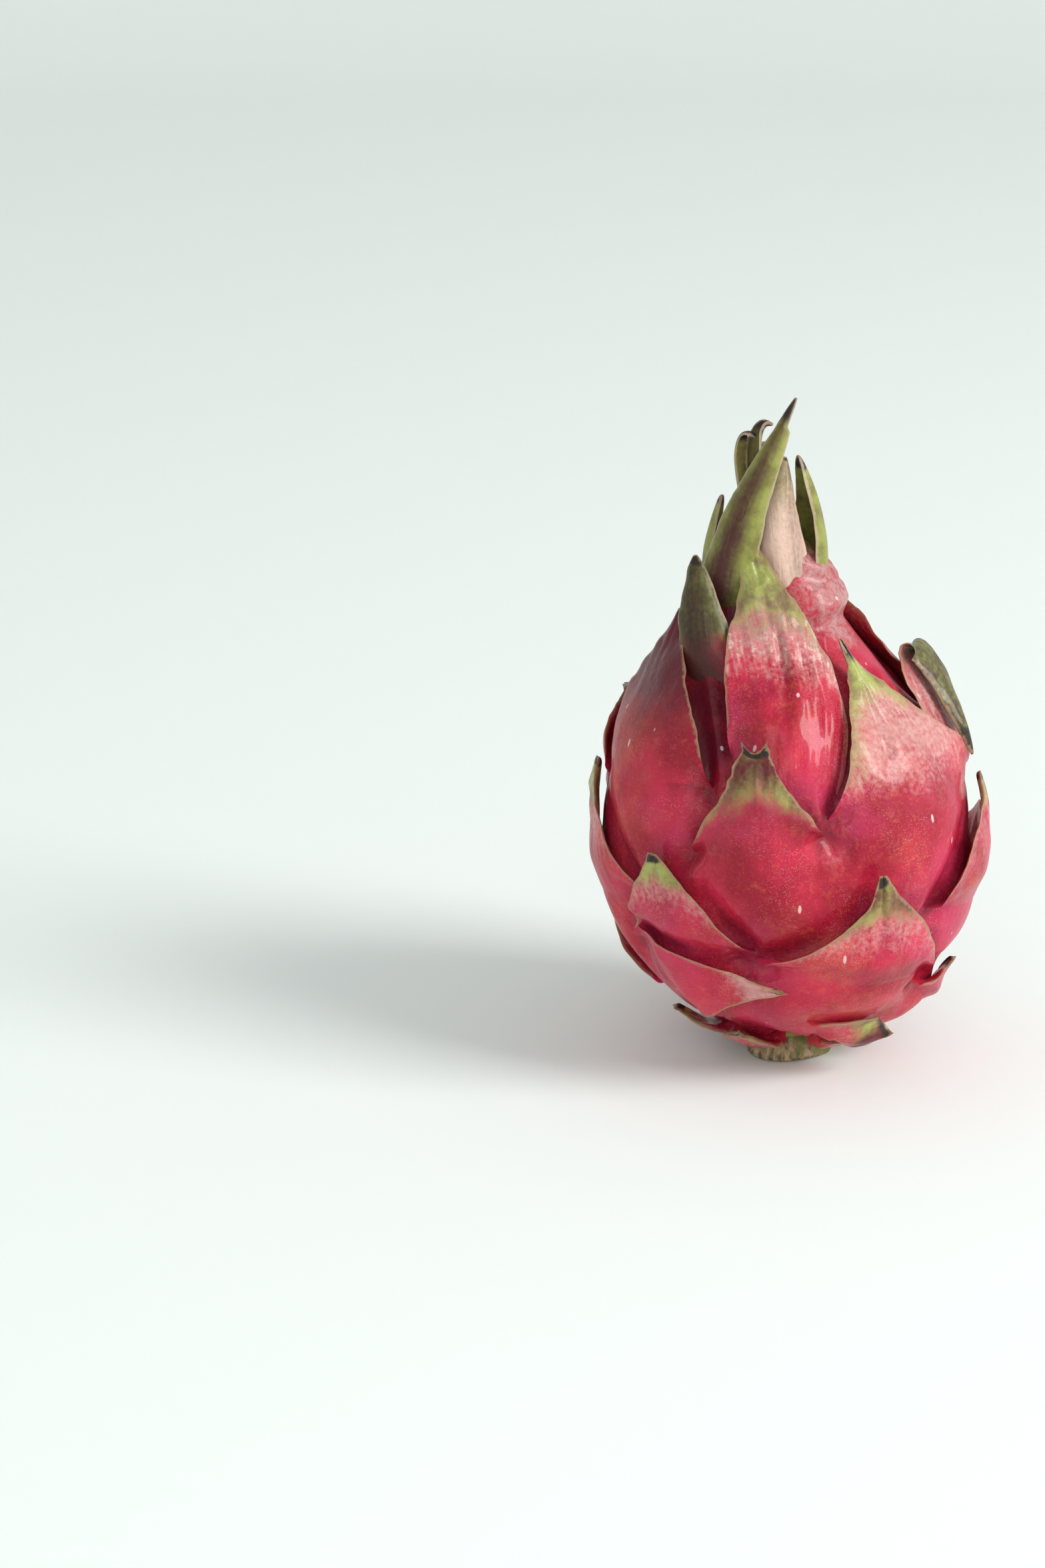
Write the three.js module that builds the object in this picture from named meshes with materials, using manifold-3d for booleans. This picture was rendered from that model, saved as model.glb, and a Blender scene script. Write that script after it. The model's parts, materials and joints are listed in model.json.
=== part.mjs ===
// A ripe red dragon fruit (pitahaya), standing on the cut stub of its stem.
// Millimetres, +Z up. The origin is the centre of the stub's flat underside.
//
// The fruit is laid out upright about its own axis, then leaned back and cut flat
// where it meets the table. Places on its skin are given as [turn, way]: turn is the
// angle about the axis in degrees (-90 is the front, 0 the right side, 90 the back),
// and way is the distance in millimetres along the skin, up from the middle of the
// underside. Height above the skin is measured square to it.

import * as THREE from "three";
import { mergeVertices } from "three/addons/utils/BufferGeometryUtils.js";
import Module from "manifold-3d";

const wasm = await Module();
wasm.setup();
const { lerp, clamp, smoothstep, degToRad } = THREE.MathUtils;

// ---- Driving dimensions ----------------------------------------------------------

const LEAN = 3; // degrees that the whole fruit leans back
const STUB_HEIGHT = 5; // length of stem left below the fruit
const STUB_RADIUS = 10;
const BEND = 9; // the neck drifts this far to the left ...
const BEND_HEIGHT = 110; // ... by this height,
const BEND_POWER = 2.5; // ... slowly at first
const GAP = 0.3; // clearance between neighbouring pieces
const BED = 0.5; // clearance of a bract's inner face over the skin
const EDGE_ROOT = 0.7; // least thickness of a scale where it comes out of the skin
const EDGE_FREE = 2.3; // ... and its least height over the skin further up
const GROWN_HALF = 12; // half breadth that a scale's clearance is measured against
const THICK_ROOT = 2.6; // thickness of a bract near its root
const THICK_TIP = 1.1; // ... and near its tip

// Half of the body's lengthwise section, as Bezier arcs of [radius, height].
const OUTLINE = [
  [[0, 0], [22, 0], [40.6, 17], [40.6, 48]],
  [[40.6, 48], [40.6, 75], [19.5, 88], [12.5, 106]],
  [[12.5, 106], [10.5, 112], [7, 116], [0, 116]],
];
const OUTLINE_STEPS = 60; // samples in each arc

// Facets round and along the body, and along and across each bract.
const BODY_AROUND = 60;
const BODY_ALONG = 50;
const SCALE_ALONG = 8;
const SCALE_ACROSS = 6;
const BLADE_ALONG = 12;
const BLADE_ACROSS = 4;

// How every scale-like bract is built up.
const ROOT_SAG = 0.12; // the middle of its root hangs lower, as a share of its length
const NICK_START = 0.75; // a nicked tip begins to part this far up
const BEAK_START = 0.6; // a beaked tip is drawn in from here
const EDGE_DROP = 0.8; // share of the cushion's height lost at its edges
const CUSHION_FADE = 0.8; // power by which the cushion's height dies out towards the tip
const LIFT_CURVE = 1.6; // power by which the tip lifts off
const RISE = 1.2; // steady rise off the skin from root to tip
const EMERGE_BY = 0.4; // its free edge is clear of the skin this far up

// How every blade is built up.
const FULL_BY = 0.4; // it reaches its full breadth this far up
const TAPER_FINISH = 0.8; // power by which its breadth closes at the tip
const TIP_HALF = 0.5; // half the breadth left at the very tip
const TIP_THIN = 0.7; // thickness at the tip, as a share of that at the root

// The cushion of skin under a scale, against its root's breadth and its length.
const CUSHION_HALF = 0.42;
const CUSHION_SHIFT = 0.25; // drift of its middle towards the tip's side
const CUSHION_BELOW = [0.45, 8]; // share of the length, and a little more
const CUSHION_ABOVE = [0.3, 4];
const CUSHION_POWER = 2; // how squarely it ends above and below

// The valley in the skin along each free edge of a scale.
const VALLEY_DEPTH = 2.6; // at the root corners
const VALLEY_TIP = 0.33; // share of its depth left towards the tip
const VALLEY_HALF = 3.6; // half its breadth
const VALLEY_FROM = -0.3; // it runs on below the root corner by this share of the edge
const VALLEY_STEPS = 26;

// Scale-like bracts that grow out of the skin. Each has a left and a right root corner,
// a tip, and the point that each free edge passes half-way; blunt is half the tip's
// width in degrees, swell the height of the cushion it grows from, and lift how far its
// tip stands off. Where given, notch is how deep the tip is nicked, beak how much the
// last third is drawn in, curve the power by which the tip lifts off, and hang how far
// the right edge stands off.
const SCALES = [
  { name: "bract_front_left", left: [-125, 73], leftMid: [-110.5, 89], tip: [-101, 98.5],
    rightMid: [-91.5, 89], right: [-80, 78.5], blunt: 4.5, swell: 3.5, lift: 3.2, notch: 2.5 },
  { name: "bract_front_right", left: [-79.5, 81.5], leftMid: [-61.8, 105], tip: [-51, 121],
    rightMid: [-31, 106], right: [2, 82], blunt: 1.2, swell: 3.5, lift: 3.5, beak: 0.3 },
  { name: "bract_front_low", left: [-107, 49], leftMid: [-79.5, 57], tip: [-65.5, 70.5],
    rightMid: [-51.5, 59.5], right: [-30, 41], blunt: 1, swell: 3, lift: 3.2, beak: 0.1 },
  { name: "bract_front_high", left: [-110, 94], leftMid: [-114, 124], tip: [-95, 145],
    rightMid: [-61, 120], right: [-76, 86], blunt: 5, swell: 3, lift: 3 },
  { name: "bract_right_low", left: [-42, 58], leftMid: [-27, 71.5], tip: [-10, 84],
    rightMid: [14, 72], right: [44, 56], blunt: 1, swell: 3, lift: 5.4, beak: 0.5, curve: 0.5 },
  { name: "bract_right_foot", left: [-36, 38], leftMid: [-25, 41], tip: [-13, 43],
    rightMid: [6, 34], right: [20, 22], blunt: 2, swell: 5, lift: 1.6, beak: 0.2 },
  { name: "bract_left_foot", left: [-152, 54], leftMid: [-123, 50.5], tip: [-95, 44],
    rightMid: [-117, 38], right: [-136, 28], blunt: 1.5, swell: 2, lift: 0.8 },
  { name: "bract_left", left: [171, 88], leftMid: [-178, 108], tip: [-154, 127],
    rightMid: [-131, 110], right: [-118, 88], blunt: 1.5, swell: 3, lift: 4, beak: 0.1 },
  { name: "bract_back_left", left: [112, 92], leftMid: [138, 98], tip: [164, 101],
    rightMid: [176, 97], right: [-176, 82], blunt: 1.5, swell: 3, lift: 3.4, beak: 0.15 },
  { name: "bract_right_high", left: [2, 96], leftMid: [4, 117], tip: [32, 130],
    rightMid: [56, 117], right: [66, 98], blunt: 2, swell: 1.8, lift: 1, beak: 0.15 },
  { name: "bract_back_high", left: [78, 108], leftMid: [84, 128], tip: [108, 143],
    rightMid: [138, 128], right: [146, 108], blunt: 2.5, swell: 3, lift: 4, beak: 0.15 },
  { name: "bract_back", left: [58, 82], leftMid: [70, 104], tip: [90, 120],
    rightMid: [108, 104], right: [124, 82], blunt: 1.5, swell: 3.5, lift: 4.5, beak: 0.15 },
  { name: "bract_back_right_low", left: [36, 50], leftMid: [52, 68], tip: [68, 80],
    rightMid: [84, 68], right: [100, 50], blunt: 1.5, swell: 3, lift: 4, beak: 0.15 },
  { name: "bract_back_left_low", left: [98, 54], leftMid: [112, 72], tip: [130, 87],
    rightMid: [146, 72], right: [160, 54], blunt: 1.5, swell: 3, lift: 3.5, beak: 0.15 },
  { name: "bract_left_low", left: [158, 58], leftMid: [170, 74], tip: [-174, 87],
    rightMid: [-160, 75], right: [-144, 60], blunt: 1.5, swell: 3, lift: 3, beak: 0.15 },
  { name: "bract_front_left_low", left: [-156, 48], leftMid: [-146, 62], tip: [-134, 73],
    rightMid: [-120, 63], right: [-104, 50], blunt: 1.5, swell: 3, lift: 3.5, beak: 0.15 },
  { name: "foot_back_right", left: [18, 28], leftMid: [32, 42], tip: [46, 52],
    rightMid: [60, 42], right: [74, 30], blunt: 2, swell: 2, lift: 3.5, beak: 0.15 },
  { name: "foot_back", left: [72, 28], leftMid: [86, 43], tip: [102, 54],
    rightMid: [118, 43], right: [130, 30], blunt: 2, swell: 2, lift: 3, beak: 0.15 },
  { name: "foot_back_left", left: [134, 30], leftMid: [146, 43], tip: [158, 53],
    rightMid: [174, 44], right: [-172, 30], blunt: 2, swell: 2, lift: 3.5, beak: 0.15 },
  { name: "base_right", left: [-86, 30], leftMid: [-62, 31.5], tip: [-39, 27],
    rightMid: [-50, 20], right: [-74, 18], blunt: 2, swell: 2.5, lift: 1, hang: 4 },
  { name: "base_front_right", left: [-70, 16], leftMid: [-58, 18], tip: [-44, 18],
    rightMid: [-50, 12], right: [-66, 9], blunt: 3, swell: 1, lift: 3 },
  { name: "base_back_right", left: [20, 10], leftMid: [32, 18], tip: [46, 24],
    rightMid: [62, 18], right: [74, 10], blunt: 5, swell: 1, lift: 2.6 },
  { name: "base_back", left: [78, 10], leftMid: [88, 18], tip: [104, 24],
    rightMid: [120, 18], right: [130, 10], blunt: 5, swell: 1, lift: 2.6 },
  { name: "base_left", left: [150, 12], leftMid: [164, 20], tip: [-176, 26],
    rightMid: [-160, 20], right: [-148, 12], blunt: 4, swell: 1, lift: 2.6 },
  { name: "base_front_left", left: [-146, 14], leftMid: [-134, 22], tip: [-118, 27],
    rightMid: [-104, 21], right: [-94, 13], blunt: 4, swell: 1, lift: 2 },
];

// Long bracts of the crown, and one flank bract bent back on itself. Each follows a
// Bezier centreline in the upright fruit's own axes, of four points for one arc or
// seven for two arcs that share the middle one. facing is the turn
// that its outer side looks towards, at the root and at the tip; half is half its
// widest breadth, root its breadth at the root as a share of that, taper how blunt its
// tip is, and cup how far its edges wrap round, in degrees either side of the middle.
const BLADES = [
  { name: "crown_left", line: [[-18, -19.5, 85], [-22.5, -21, 97], [-23, -16.5, 108], [-22.9, -11, 118]],
    facing: [-118, -112], half: 7.8, root: 0.9, taper: 2, cup: [40, 55], thick: 1.5 },
  { name: "crown_long", line: [[-17, -6, 97], [-19, -16, 116], [-10.5, -19, 135], [-1, -9.5, 152.6]],
    facing: [-118, -98], half: 7.2, root: 1.15, taper: 1.5, cup: [45, 62], thick: 1.7 },
  { name: "crown_right", line: [[3, -1, 100], [9.2, -2, 114], [5.3, -2, 128], [0, -4, 139]],
    facing: [14, 24], half: 8.4, root: 0.8, taper: 2.2, cup: [70, 72], thick: 1.6 },
  { name: "crown_front", line: [[-1, -9.5, 101], [-2, -14.5, 114], [-4, -11, 128], [-3, -6, 139]],
    facing: [-80, -72], half: 7.6, root: 1.2, taper: 1.6, cup: [55, 65], thick: 1.6 },
  { name: "crown_back_left", line: [[-18, 4, 98], [-22, 6, 110], [-19, 6, 120], [-16.3, 5, 128.5]],
    facing: [165, 160], half: 6, root: 0.9, taper: 2, cup: [45, 60], thick: 1.6 },
  { name: "crown_back", line: [[-5, 9, 100], [-4, 15, 112], [-6, 14, 126], [-7, 8, 140]],
    facing: [80, 92], half: 7, root: 0.9, taper: 1.8, cup: [50, 62], thick: 1.6 },
  { name: "bract_bent_back",
    line: [[36.5, -8, 67], [36.5, -6, 79], [27, -4, 89], [26, -3, 95],
      [26.6, -2.5, 98], [34, -4, 91.5], [40, -8.5, 72]],
    facing: [-30, -38], half: 6.5, root: 1, taper: 3, cup: [25, -35], thick: 1.5 },
  { name: "withered_tip_left", line: [[-9, 3, 120], [-14.5, 1, 134], [-14.5, 0, 147], [-9, 0, 142.5]],
    facing: [150, 120], half: 1.8, root: 1, taper: 3, cup: [50, 70], thick: 1.1 },
  { name: "withered_tip_right", line: [[-6, 4, 120], [-10, 3, 134], [-10, 0, 147], [-5.5, 0, 145]],
    facing: [60, 20], half: 2.6, root: 1, taper: 3, cup: [50, 70], thick: 1.1 },
];

// Cushions of skin that the crown bracts grow from: [turn, way], half their breadth,
// their reach below and above, their height, and the power of their ends.
const CUSHIONS = [
  { at: [-18, 131.2], half: 11, below: 4, above: 15, swell: 5.2, power: 4 }, // under crown_right
  { at: [-140, 112], half: 12, below: 16, above: 12, swell: 2.5 }, // under crown_left
  { at: [170, 118], half: 12, below: 14, above: 12, swell: 2.5 }, // under crown_back_left
  { at: [80, 122], half: 12, below: 14, above: 12, swell: 2.5 }, // under crown_back
  { at: [-7, 91], half: 13, below: 16, above: 10, swell: 4.2 }, // under bract_bent_back
];

// The cut stem under the fruit, and the dried flower left on its top: [height, radius].
const COLUMN_AROUND = 20;
const STUB = {
  place: [0, 0],
  rows: [[-3, STUB_RADIUS], [0.6 * STUB_HEIGHT, 0.95 * STUB_RADIUS], [STUB_HEIGHT + 2, 0.8 * STUB_RADIUS]],
  ribs: 0.06,
};
const FLOWER = {
  place: [-10.3, 0],
  rows: [[116, 6.5], [123, 5.6], [128, 3.5]],
  ribs: 0.12,
};

const FINISH = {
  skin: { color: 0xc1294a, roughness: 0.35, metalness: 0 },
  crown: { color: 0x6b6a34, roughness: 0.45, metalness: 0 },
  stem: { color: 0x6b5636, roughness: 0.8, metalness: 0 },
  withered: { color: 0x4d4a2c, roughness: 0.8, metalness: 0 },
};

// ---- The skin ----------------------------------------------------------------------

// Samples of the outline: distance along it, radius, height and outward direction.
function sampleOutline() {
  const points = OUTLINE.flatMap((arc, i) => {
    const curve = new THREE.CubicBezierCurve(...arc.map((p) => new THREE.Vector2(...p)));
    const all = curve.getPoints(OUTLINE_STEPS);
    return i === 0 ? all : all.slice(1);
  });
  let way = 0;
  return points.map((p, i) => {
    const before = points[Math.max(i - 1, 0)];
    const after = points[Math.min(i + 1, points.length - 1)];
    const along = after.clone().sub(before).normalize();
    way += p.distanceTo(before);
    return { way, radius: p.x, height: p.y, outR: along.y, outZ: -along.x };
  });
}

const samples = sampleOutline();
const LENGTH = samples.at(-1).way; // the skin's length from bottom to top

function outlineAt(way) {
  const w = clamp(way, 0, LENGTH);
  const i = Math.max(1, samples.findIndex((s) => s.way >= w));
  const a = samples[i - 1];
  const b = samples[i];
  const t = (w - a.way) / (b.way - a.way);
  return {
    radius: lerp(a.radius, b.radius, t),
    height: lerp(a.height, b.height, t),
    outR: lerp(a.outR, b.outR, t),
    outZ: lerp(a.outZ, b.outZ, t),
  };
}

// The point at a height h above the smooth skin.
function skinPoint(turn, way, h) {
  const o = outlineAt(way);
  const r = o.radius + o.outR * h;
  const z = o.height + o.outZ * h;
  const drift = -BEND * Math.max(z / BEND_HEIGHT, 0) ** BEND_POWER;
  const a = degToRad(turn);
  return new THREE.Vector3(drift + r * Math.cos(a), r * Math.sin(a), z + STUB_HEIGHT);
}

// The turn from b to a, between -180 and 180 degrees.
const turnBetween = (a, b) => ((a - b + 540) % 360) - 180;

// The cushion under a scale sits at the middle of its root.
function cushionOf(scale) {
  const span = turnBetween(scale.right[0], scale.left[0]);
  const way = (scale.left[1] + scale.right[1]) / 2;
  const middle = scale.left[0] + span / 2;
  const length = Math.abs(scale.tip[1] - way);
  return {
    at: [middle + CUSHION_SHIFT * turnBetween(scale.tip[0], middle), way],
    half: CUSHION_HALF * degToRad(span) * outlineAt(way).radius,
    below: CUSHION_BELOW[0] * length + CUSHION_BELOW[1],
    above: CUSHION_ABOVE[0] * length + CUSHION_ABOVE[1],
    swell: scale.swell,
  };
}

const cushions = [...SCALES.map(cushionOf), ...CUSHIONS];
const BLEND = 4; // how sharply neighbouring cushions meet

// Height of the swollen skin above the smooth one.
function swelling(turn, way) {
  const radius = outlineAt(way).radius;
  const sum = cushions.reduce((total, c) => {
    const across = degToRad(turnBetween(turn, c.at[0])) * radius;
    const along = way - c.at[1];
    const reach = along < 0 ? c.below : c.above;
    const end = (Math.abs(along) / reach) ** (c.power ?? CUSHION_POWER);
    const height = c.swell * Math.exp(-((across / c.half) ** 2) - end);
    return total + height ** BLEND;
  }, 0);
  return sum ** (1 / BLEND);
}

// A quadratic Bezier through its middle point, for one coordinate.
function through(a, middle, b, t) {
  const control = 2 * middle - (a + b) / 2;
  return (1 - t) ** 2 * a + 2 * t * (1 - t) * control + t * t * b;
}

// The [turn, way] of a point of a scale, s of the way from root to tip and v across.
function scalePlace(scale, s, v) {
  const { left, leftMid, tip, rightMid, right, blunt, notch = 0, beak = 0 } = scale;
  const rel = (p) => turnBetween(p[0], left[0]);
  const tipTurn = rel(tip);
  const leftTurn = through(0, rel(leftMid), tipTurn - blunt, s);
  const rightTurn = through(rel(right), rel(rightMid), tipTurn + blunt, s);
  const leftWay = through(left[1], leftMid[1], tip[1], s);
  const rightWay = through(right[1], rightMid[1], tip[1], s);
  const drawn = clamp((s - BEAK_START) / (1 - BEAK_START), 0, 1);
  const t = 0.5 + 0.5 * v * (1 - 4 * beak * drawn * (1 - drawn));
  const nick = notch * (1 - v * v) * smoothstep(s, NICK_START, 1);
  const sag = ROOT_SAG * Math.abs(tip[1] - left[1]) * (1 - v * v) * (1 - s);
  return [left[0] + lerp(leftTurn, rightTurn, t), lerp(leftWay, rightWay, t) - nick - sag];
}

// Places along both free edges of every scale, each with the valley's depth there.
const valleyPlaces = SCALES.flatMap((scale) =>
  [-1, 1].flatMap((side) =>
    Array.from({ length: VALLEY_STEPS }, (_, i) => {
      const s = lerp(VALLEY_FROM, 1, i / VALLEY_STEPS);
      const share = lerp(1, VALLEY_TIP, smoothstep(s, 0.1, 0.8));
      const depth = VALLEY_DEPTH * smoothstep(s, VALLEY_FROM, 0) * share;
      return { at: scalePlace(scale, s, side), depth };
    }),
  ),
);

// Depth of the valleys at a place on the skin.
function valleyDepth(turn, way) {
  const radius = outlineAt(way).radius;
  return valleyPlaces.reduce((deepest, { at, depth }) => {
    const across = degToRad(turnBetween(turn, at[0])) * radius;
    const distance = Math.hypot(across, way - at[1]) / VALLEY_HALF;
    return Math.max(deepest, depth * Math.exp(-(distance ** 2)));
  }, 0);
}

// ---- Making solids -----------------------------------------------------------------

function geometryOf(positions, triangles) {
  const geometry = new THREE.BufferGeometry();
  geometry.setAttribute("position", new THREE.Float32BufferAttribute(positions, 3));
  geometry.setIndex(triangles);
  return geometry;
}

// The closed body: rings of points with one point at each end.
function bodyGeometry(grow) {
  const positions = [];
  const triangles = [];
  const ring = (j, i) => 1 + (j - 1) * BODY_AROUND + (i % BODY_AROUND);
  const last = 1 + (BODY_ALONG - 1) * BODY_AROUND;
  positions.push(...skinPoint(0, 0, grow).toArray());
  for (let j = 1; j < BODY_ALONG; j++) {
    const way = (LENGTH * j) / BODY_ALONG;
    for (let i = 0; i < BODY_AROUND; i++) {
      const turn = (360 * i) / BODY_AROUND;
      const height = swelling(turn, way) - valleyDepth(turn, way) + grow;
      positions.push(...skinPoint(turn, way, height).toArray());
    }
  }
  positions.push(...skinPoint(0, LENGTH, grow).toArray());
  for (let i = 0; i < BODY_AROUND; i++) {
    triangles.push(0, ring(1, i + 1), ring(1, i));
    triangles.push(last, ring(BODY_ALONG - 1, i), ring(BODY_ALONG - 1, i + 1));
    for (let j = 1; j < BODY_ALONG - 1; j++) {
      triangles.push(ring(j, i), ring(j, i + 1), ring(j + 1, i + 1));
      triangles.push(ring(j, i), ring(j + 1, i + 1), ring(j + 1, i));
    }
  }
  return geometryOf(positions, triangles);
}

// A closed sheet: outer and inner faces of a grid of points, joined round the edge.
// at(s, v, side) gives a point; s runs 0..1 from root to tip, v -1..1 from edge to edge,
// and side is 1 on the outer face and -1 on the inner one.
function sheetGeometry(at, along, across) {
  const positions = [];
  const triangles = [];
  const index = (side, j, i) => (side > 0 ? 0 : (along + 1) * (across + 1)) + j * (across + 1) + i;
  for (const side of [1, -1])
    for (let j = 0; j <= along; j++)
      for (let i = 0; i <= across; i++)
        positions.push(...at(j / along, (2 * i) / across - 1, side).toArray());
  const quad = (a, b, c, d) => triangles.push(a, b, c, a, c, d);
  for (let j = 0; j < along; j++)
    for (let i = 0; i < across; i++) {
      quad(index(1, j, i), index(1, j, i + 1), index(1, j + 1, i + 1), index(1, j + 1, i));
      quad(index(-1, j, i), index(-1, j + 1, i), index(-1, j + 1, i + 1), index(-1, j, i + 1));
    }
  for (let i = 0; i < across; i++) {
    quad(index(-1, 0, i), index(-1, 0, i + 1), index(1, 0, i + 1), index(1, 0, i));
    quad(index(1, along, i), index(1, along, i + 1), index(-1, along, i + 1), index(-1, along, i));
  }
  for (let j = 0; j < along; j++) {
    quad(index(1, j, 0), index(1, j + 1, 0), index(-1, j + 1, 0), index(-1, j, 0));
    quad(index(-1, j, across), index(-1, j + 1, across), index(1, j + 1, across), index(1, j, across));
  }
  return geometryOf(positions, triangles);
}

function scaleGeometry(scale, grow) {
  const at = (s, v, side) => {
    const [turn, way] = scalePlace(scale, s, v * (1 + grow / GROWN_HALF));
    const skin = swelling(turn, way);
    const cushion = scale.swell * (1 - EDGE_DROP * v * v) * (1 - s) ** CUSHION_FADE;
    const hang = (scale.hang ?? 0) * smoothstep(v, -1, 1) * smoothstep(s, 0, 0.5);
    const own = cushion + scale.lift * s ** (scale.curve ?? LIFT_CURVE) + RISE * s + hang;
    const edge = lerp(EDGE_ROOT, EDGE_FREE, smoothstep(s, 0, EMERGE_BY));
    const outer = Math.max(own, skin + BED + edge);
    const thick = lerp(THICK_ROOT, THICK_TIP, s);
    const inner = Math.max(outer - thick, skin + BED);
    return skinPoint(turn, way, side > 0 ? outer + grow : inner - grow);
  };
  return sheetGeometry(at, SCALE_ALONG, SCALE_ACROSS);
}

// ---- Blades ------------------------------------------------------------------------

// The point and the direction of a centreline at s; its arcs share s evenly.
function centrelineAt(line, s) {
  const arcs = (line.length - 1) / 3;
  const i = Math.min(Math.floor(s * arcs), arcs - 1);
  const points = line.slice(3 * i, 3 * i + 4).map((p) => new THREE.Vector3(...p));
  const arc = new THREE.CubicBezierCurve3(...points);
  return { centre: arc.getPoint(s * arcs - i), tangent: arc.getTangent(s * arcs - i) };
}

function bladeGeometry(blade, grow) {
  const at = (s, v, side) => {
    const { centre, tangent } = centrelineAt(blade.line, s);
    const facing = degToRad(lerp(blade.facing[0], blade.facing[1], s));
    const sideways = new THREE.Vector3(-Math.sin(facing), Math.cos(facing), 0);
    const across = sideways.addScaledVector(tangent, -sideways.dot(tangent)).normalize();
    const outward = across.clone().cross(tangent);
    const fill = lerp(blade.root, 1, smoothstep(s, 0, FULL_BY));
    const half = blade.half * fill * (1 - s ** blade.taper) ** TAPER_FINISH + TIP_HALF + grow;
    const cup = degToRad(lerp(blade.cup[0], blade.cup[1], s));
    const bow = half / cup;
    const thick = blade.thick * lerp(1, TIP_THIN, s) + 2 * grow;
    const rise = bow * (Math.cos(v * cup) - 1) + (side * thick) / 2;
    return centre.addScaledVector(across, bow * Math.sin(v * cup)).addScaledVector(outward, rise);
  };
  return sheetGeometry(at, BLADE_ALONG, BLADE_ACROSS);
}

// ---- Stub and withered flower --------------------------------------------------------

// A short upright column about a place [x, y]: rings of [height, radius] with three low ribs.
function columnGeometry(column, grow) {
  const { place, rows, ribs } = column;
  const positions = [place[0], place[1], rows[0][0]];
  const triangles = [];
  for (const [z, radius] of rows)
    for (let i = 0; i < COLUMN_AROUND; i++) {
      const a = (2 * Math.PI * i) / COLUMN_AROUND;
      const r = radius * (1 + ribs * Math.cos(3 * a)) + grow;
      positions.push(place[0] + r * Math.cos(a), place[1] + r * Math.sin(a), z);
    }
  positions.push(place[0], place[1], rows.at(-1)[0]);
  const top = 1 + rows.length * COLUMN_AROUND;
  const ring = (j, i) => 1 + j * COLUMN_AROUND + (i % COLUMN_AROUND);
  for (let i = 0; i < COLUMN_AROUND; i++) {
    triangles.push(0, ring(0, i + 1), ring(0, i));
    triangles.push(top, ring(rows.length - 1, i), ring(rows.length - 1, i + 1));
    for (let j = 0; j < rows.length - 1; j++) {
      triangles.push(ring(j, i), ring(j, i + 1), ring(j + 1, i + 1));
      triangles.push(ring(j, i), ring(j + 1, i + 1), ring(j + 1, i));
    }
  }
  return geometryOf(positions, triangles);
}

// ---- Joining and cutting -------------------------------------------------------------

function solidOf(geometry) {
  geometry.deleteAttribute("normal");
  geometry.deleteAttribute("uv");
  const merged = mergeVertices(geometry, 1e-4);
  return new wasm.Manifold(new wasm.Mesh({
    numProp: 3,
    vertProperties: new Float32Array(merged.attributes.position.array),
    triVerts: new Uint32Array(merged.index.array),
  }));
}

// The biggest of the pieces that a cut leaves.
function biggest(solid) {
  return solid.decompose().sort((a, b) => b.volume() - a.volume())[0];
}

const lean = new THREE.Matrix4().makeRotationX(degToRad(-LEAN));
const belowTable = solidOf(new THREE.BoxGeometry(400, 400, 100).translate(0, 0, -50));

// A geometry laid out upright, as a solid that leans and stands flat on the table.
function standing(geometry) {
  return solidOf(geometry.applyMatrix4(lean)).subtract(belowTable);
}

// ---- The whole fruit -----------------------------------------------------------------

// Every piece but the body; make(grow) gives its shape, grown by a clearance all round.
const pieces = [
  { name: "stem_stub", finish: "stem", make: (grow) => columnGeometry(STUB, grow) },
  { name: "withered_flower", finish: "withered", make: (grow) => columnGeometry(FLOWER, grow) },
  ...SCALES.map((scale) => ({
    name: scale.name,
    finish: "skin",
    make: (grow) => scaleGeometry(scale, grow),
  })),
  ...BLADES.map((blade) => ({
    name: blade.name,
    finish: blade.name.startsWith("withered") ? "withered" : "crown",
    make: (grow) => bladeGeometry(blade, grow),
  })),
];

const fruit = new THREE.Group();
fruit.name = "dragon_fruit";

function addMesh(name, solid, finish) {
  const mesh = solid.getMesh();
  const geometry = geometryOf(Array.from(mesh.vertProperties), Array.from(mesh.triVerts));
  const material = new THREE.MeshStandardMaterial({ ...FINISH[finish], flatShading: true });
  const node = new THREE.Mesh(geometry, material);
  node.name = name;
  fruit.add(node);
}

addMesh("fruit_body", standing(bodyGeometry(0)), "skin");

// Each piece gives way to the body and to the pieces before it in the list.
const taken = [standing(bodyGeometry(GAP))];
for (const piece of pieces) {
  const whole = standing(piece.make(0));
  const free = taken.reduce((rest, other) => rest.subtract(other), whole);
  addMesh(piece.name, biggest(free), piece.finish);
  taken.push(standing(piece.make(GAP)).add(whole));
}

export default fruit;
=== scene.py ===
# %% [markdown]
# # A ripe red dragon fruit
#
# The fruit stands on the cut stub of its stem. Its body is one egg of waxy red skin,
# swollen into cushions, and a leaf-like bract grows out of each cushion. The bracts low
# down are broad scales that lie close to the skin. Those of the crown are long blades.
#
# Every surface here is worked out as whole arrays of points with numpy, from the same
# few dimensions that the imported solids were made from. A place on the skin is a *turn*
# about the fruit's axis in degrees (-90 is the front, 0 the right side, 90 the back)
# and a *way* in millimetres along the skin, up from the middle of the underside.

import json
from itertools import product
from math import atan2, pi, radians

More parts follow.
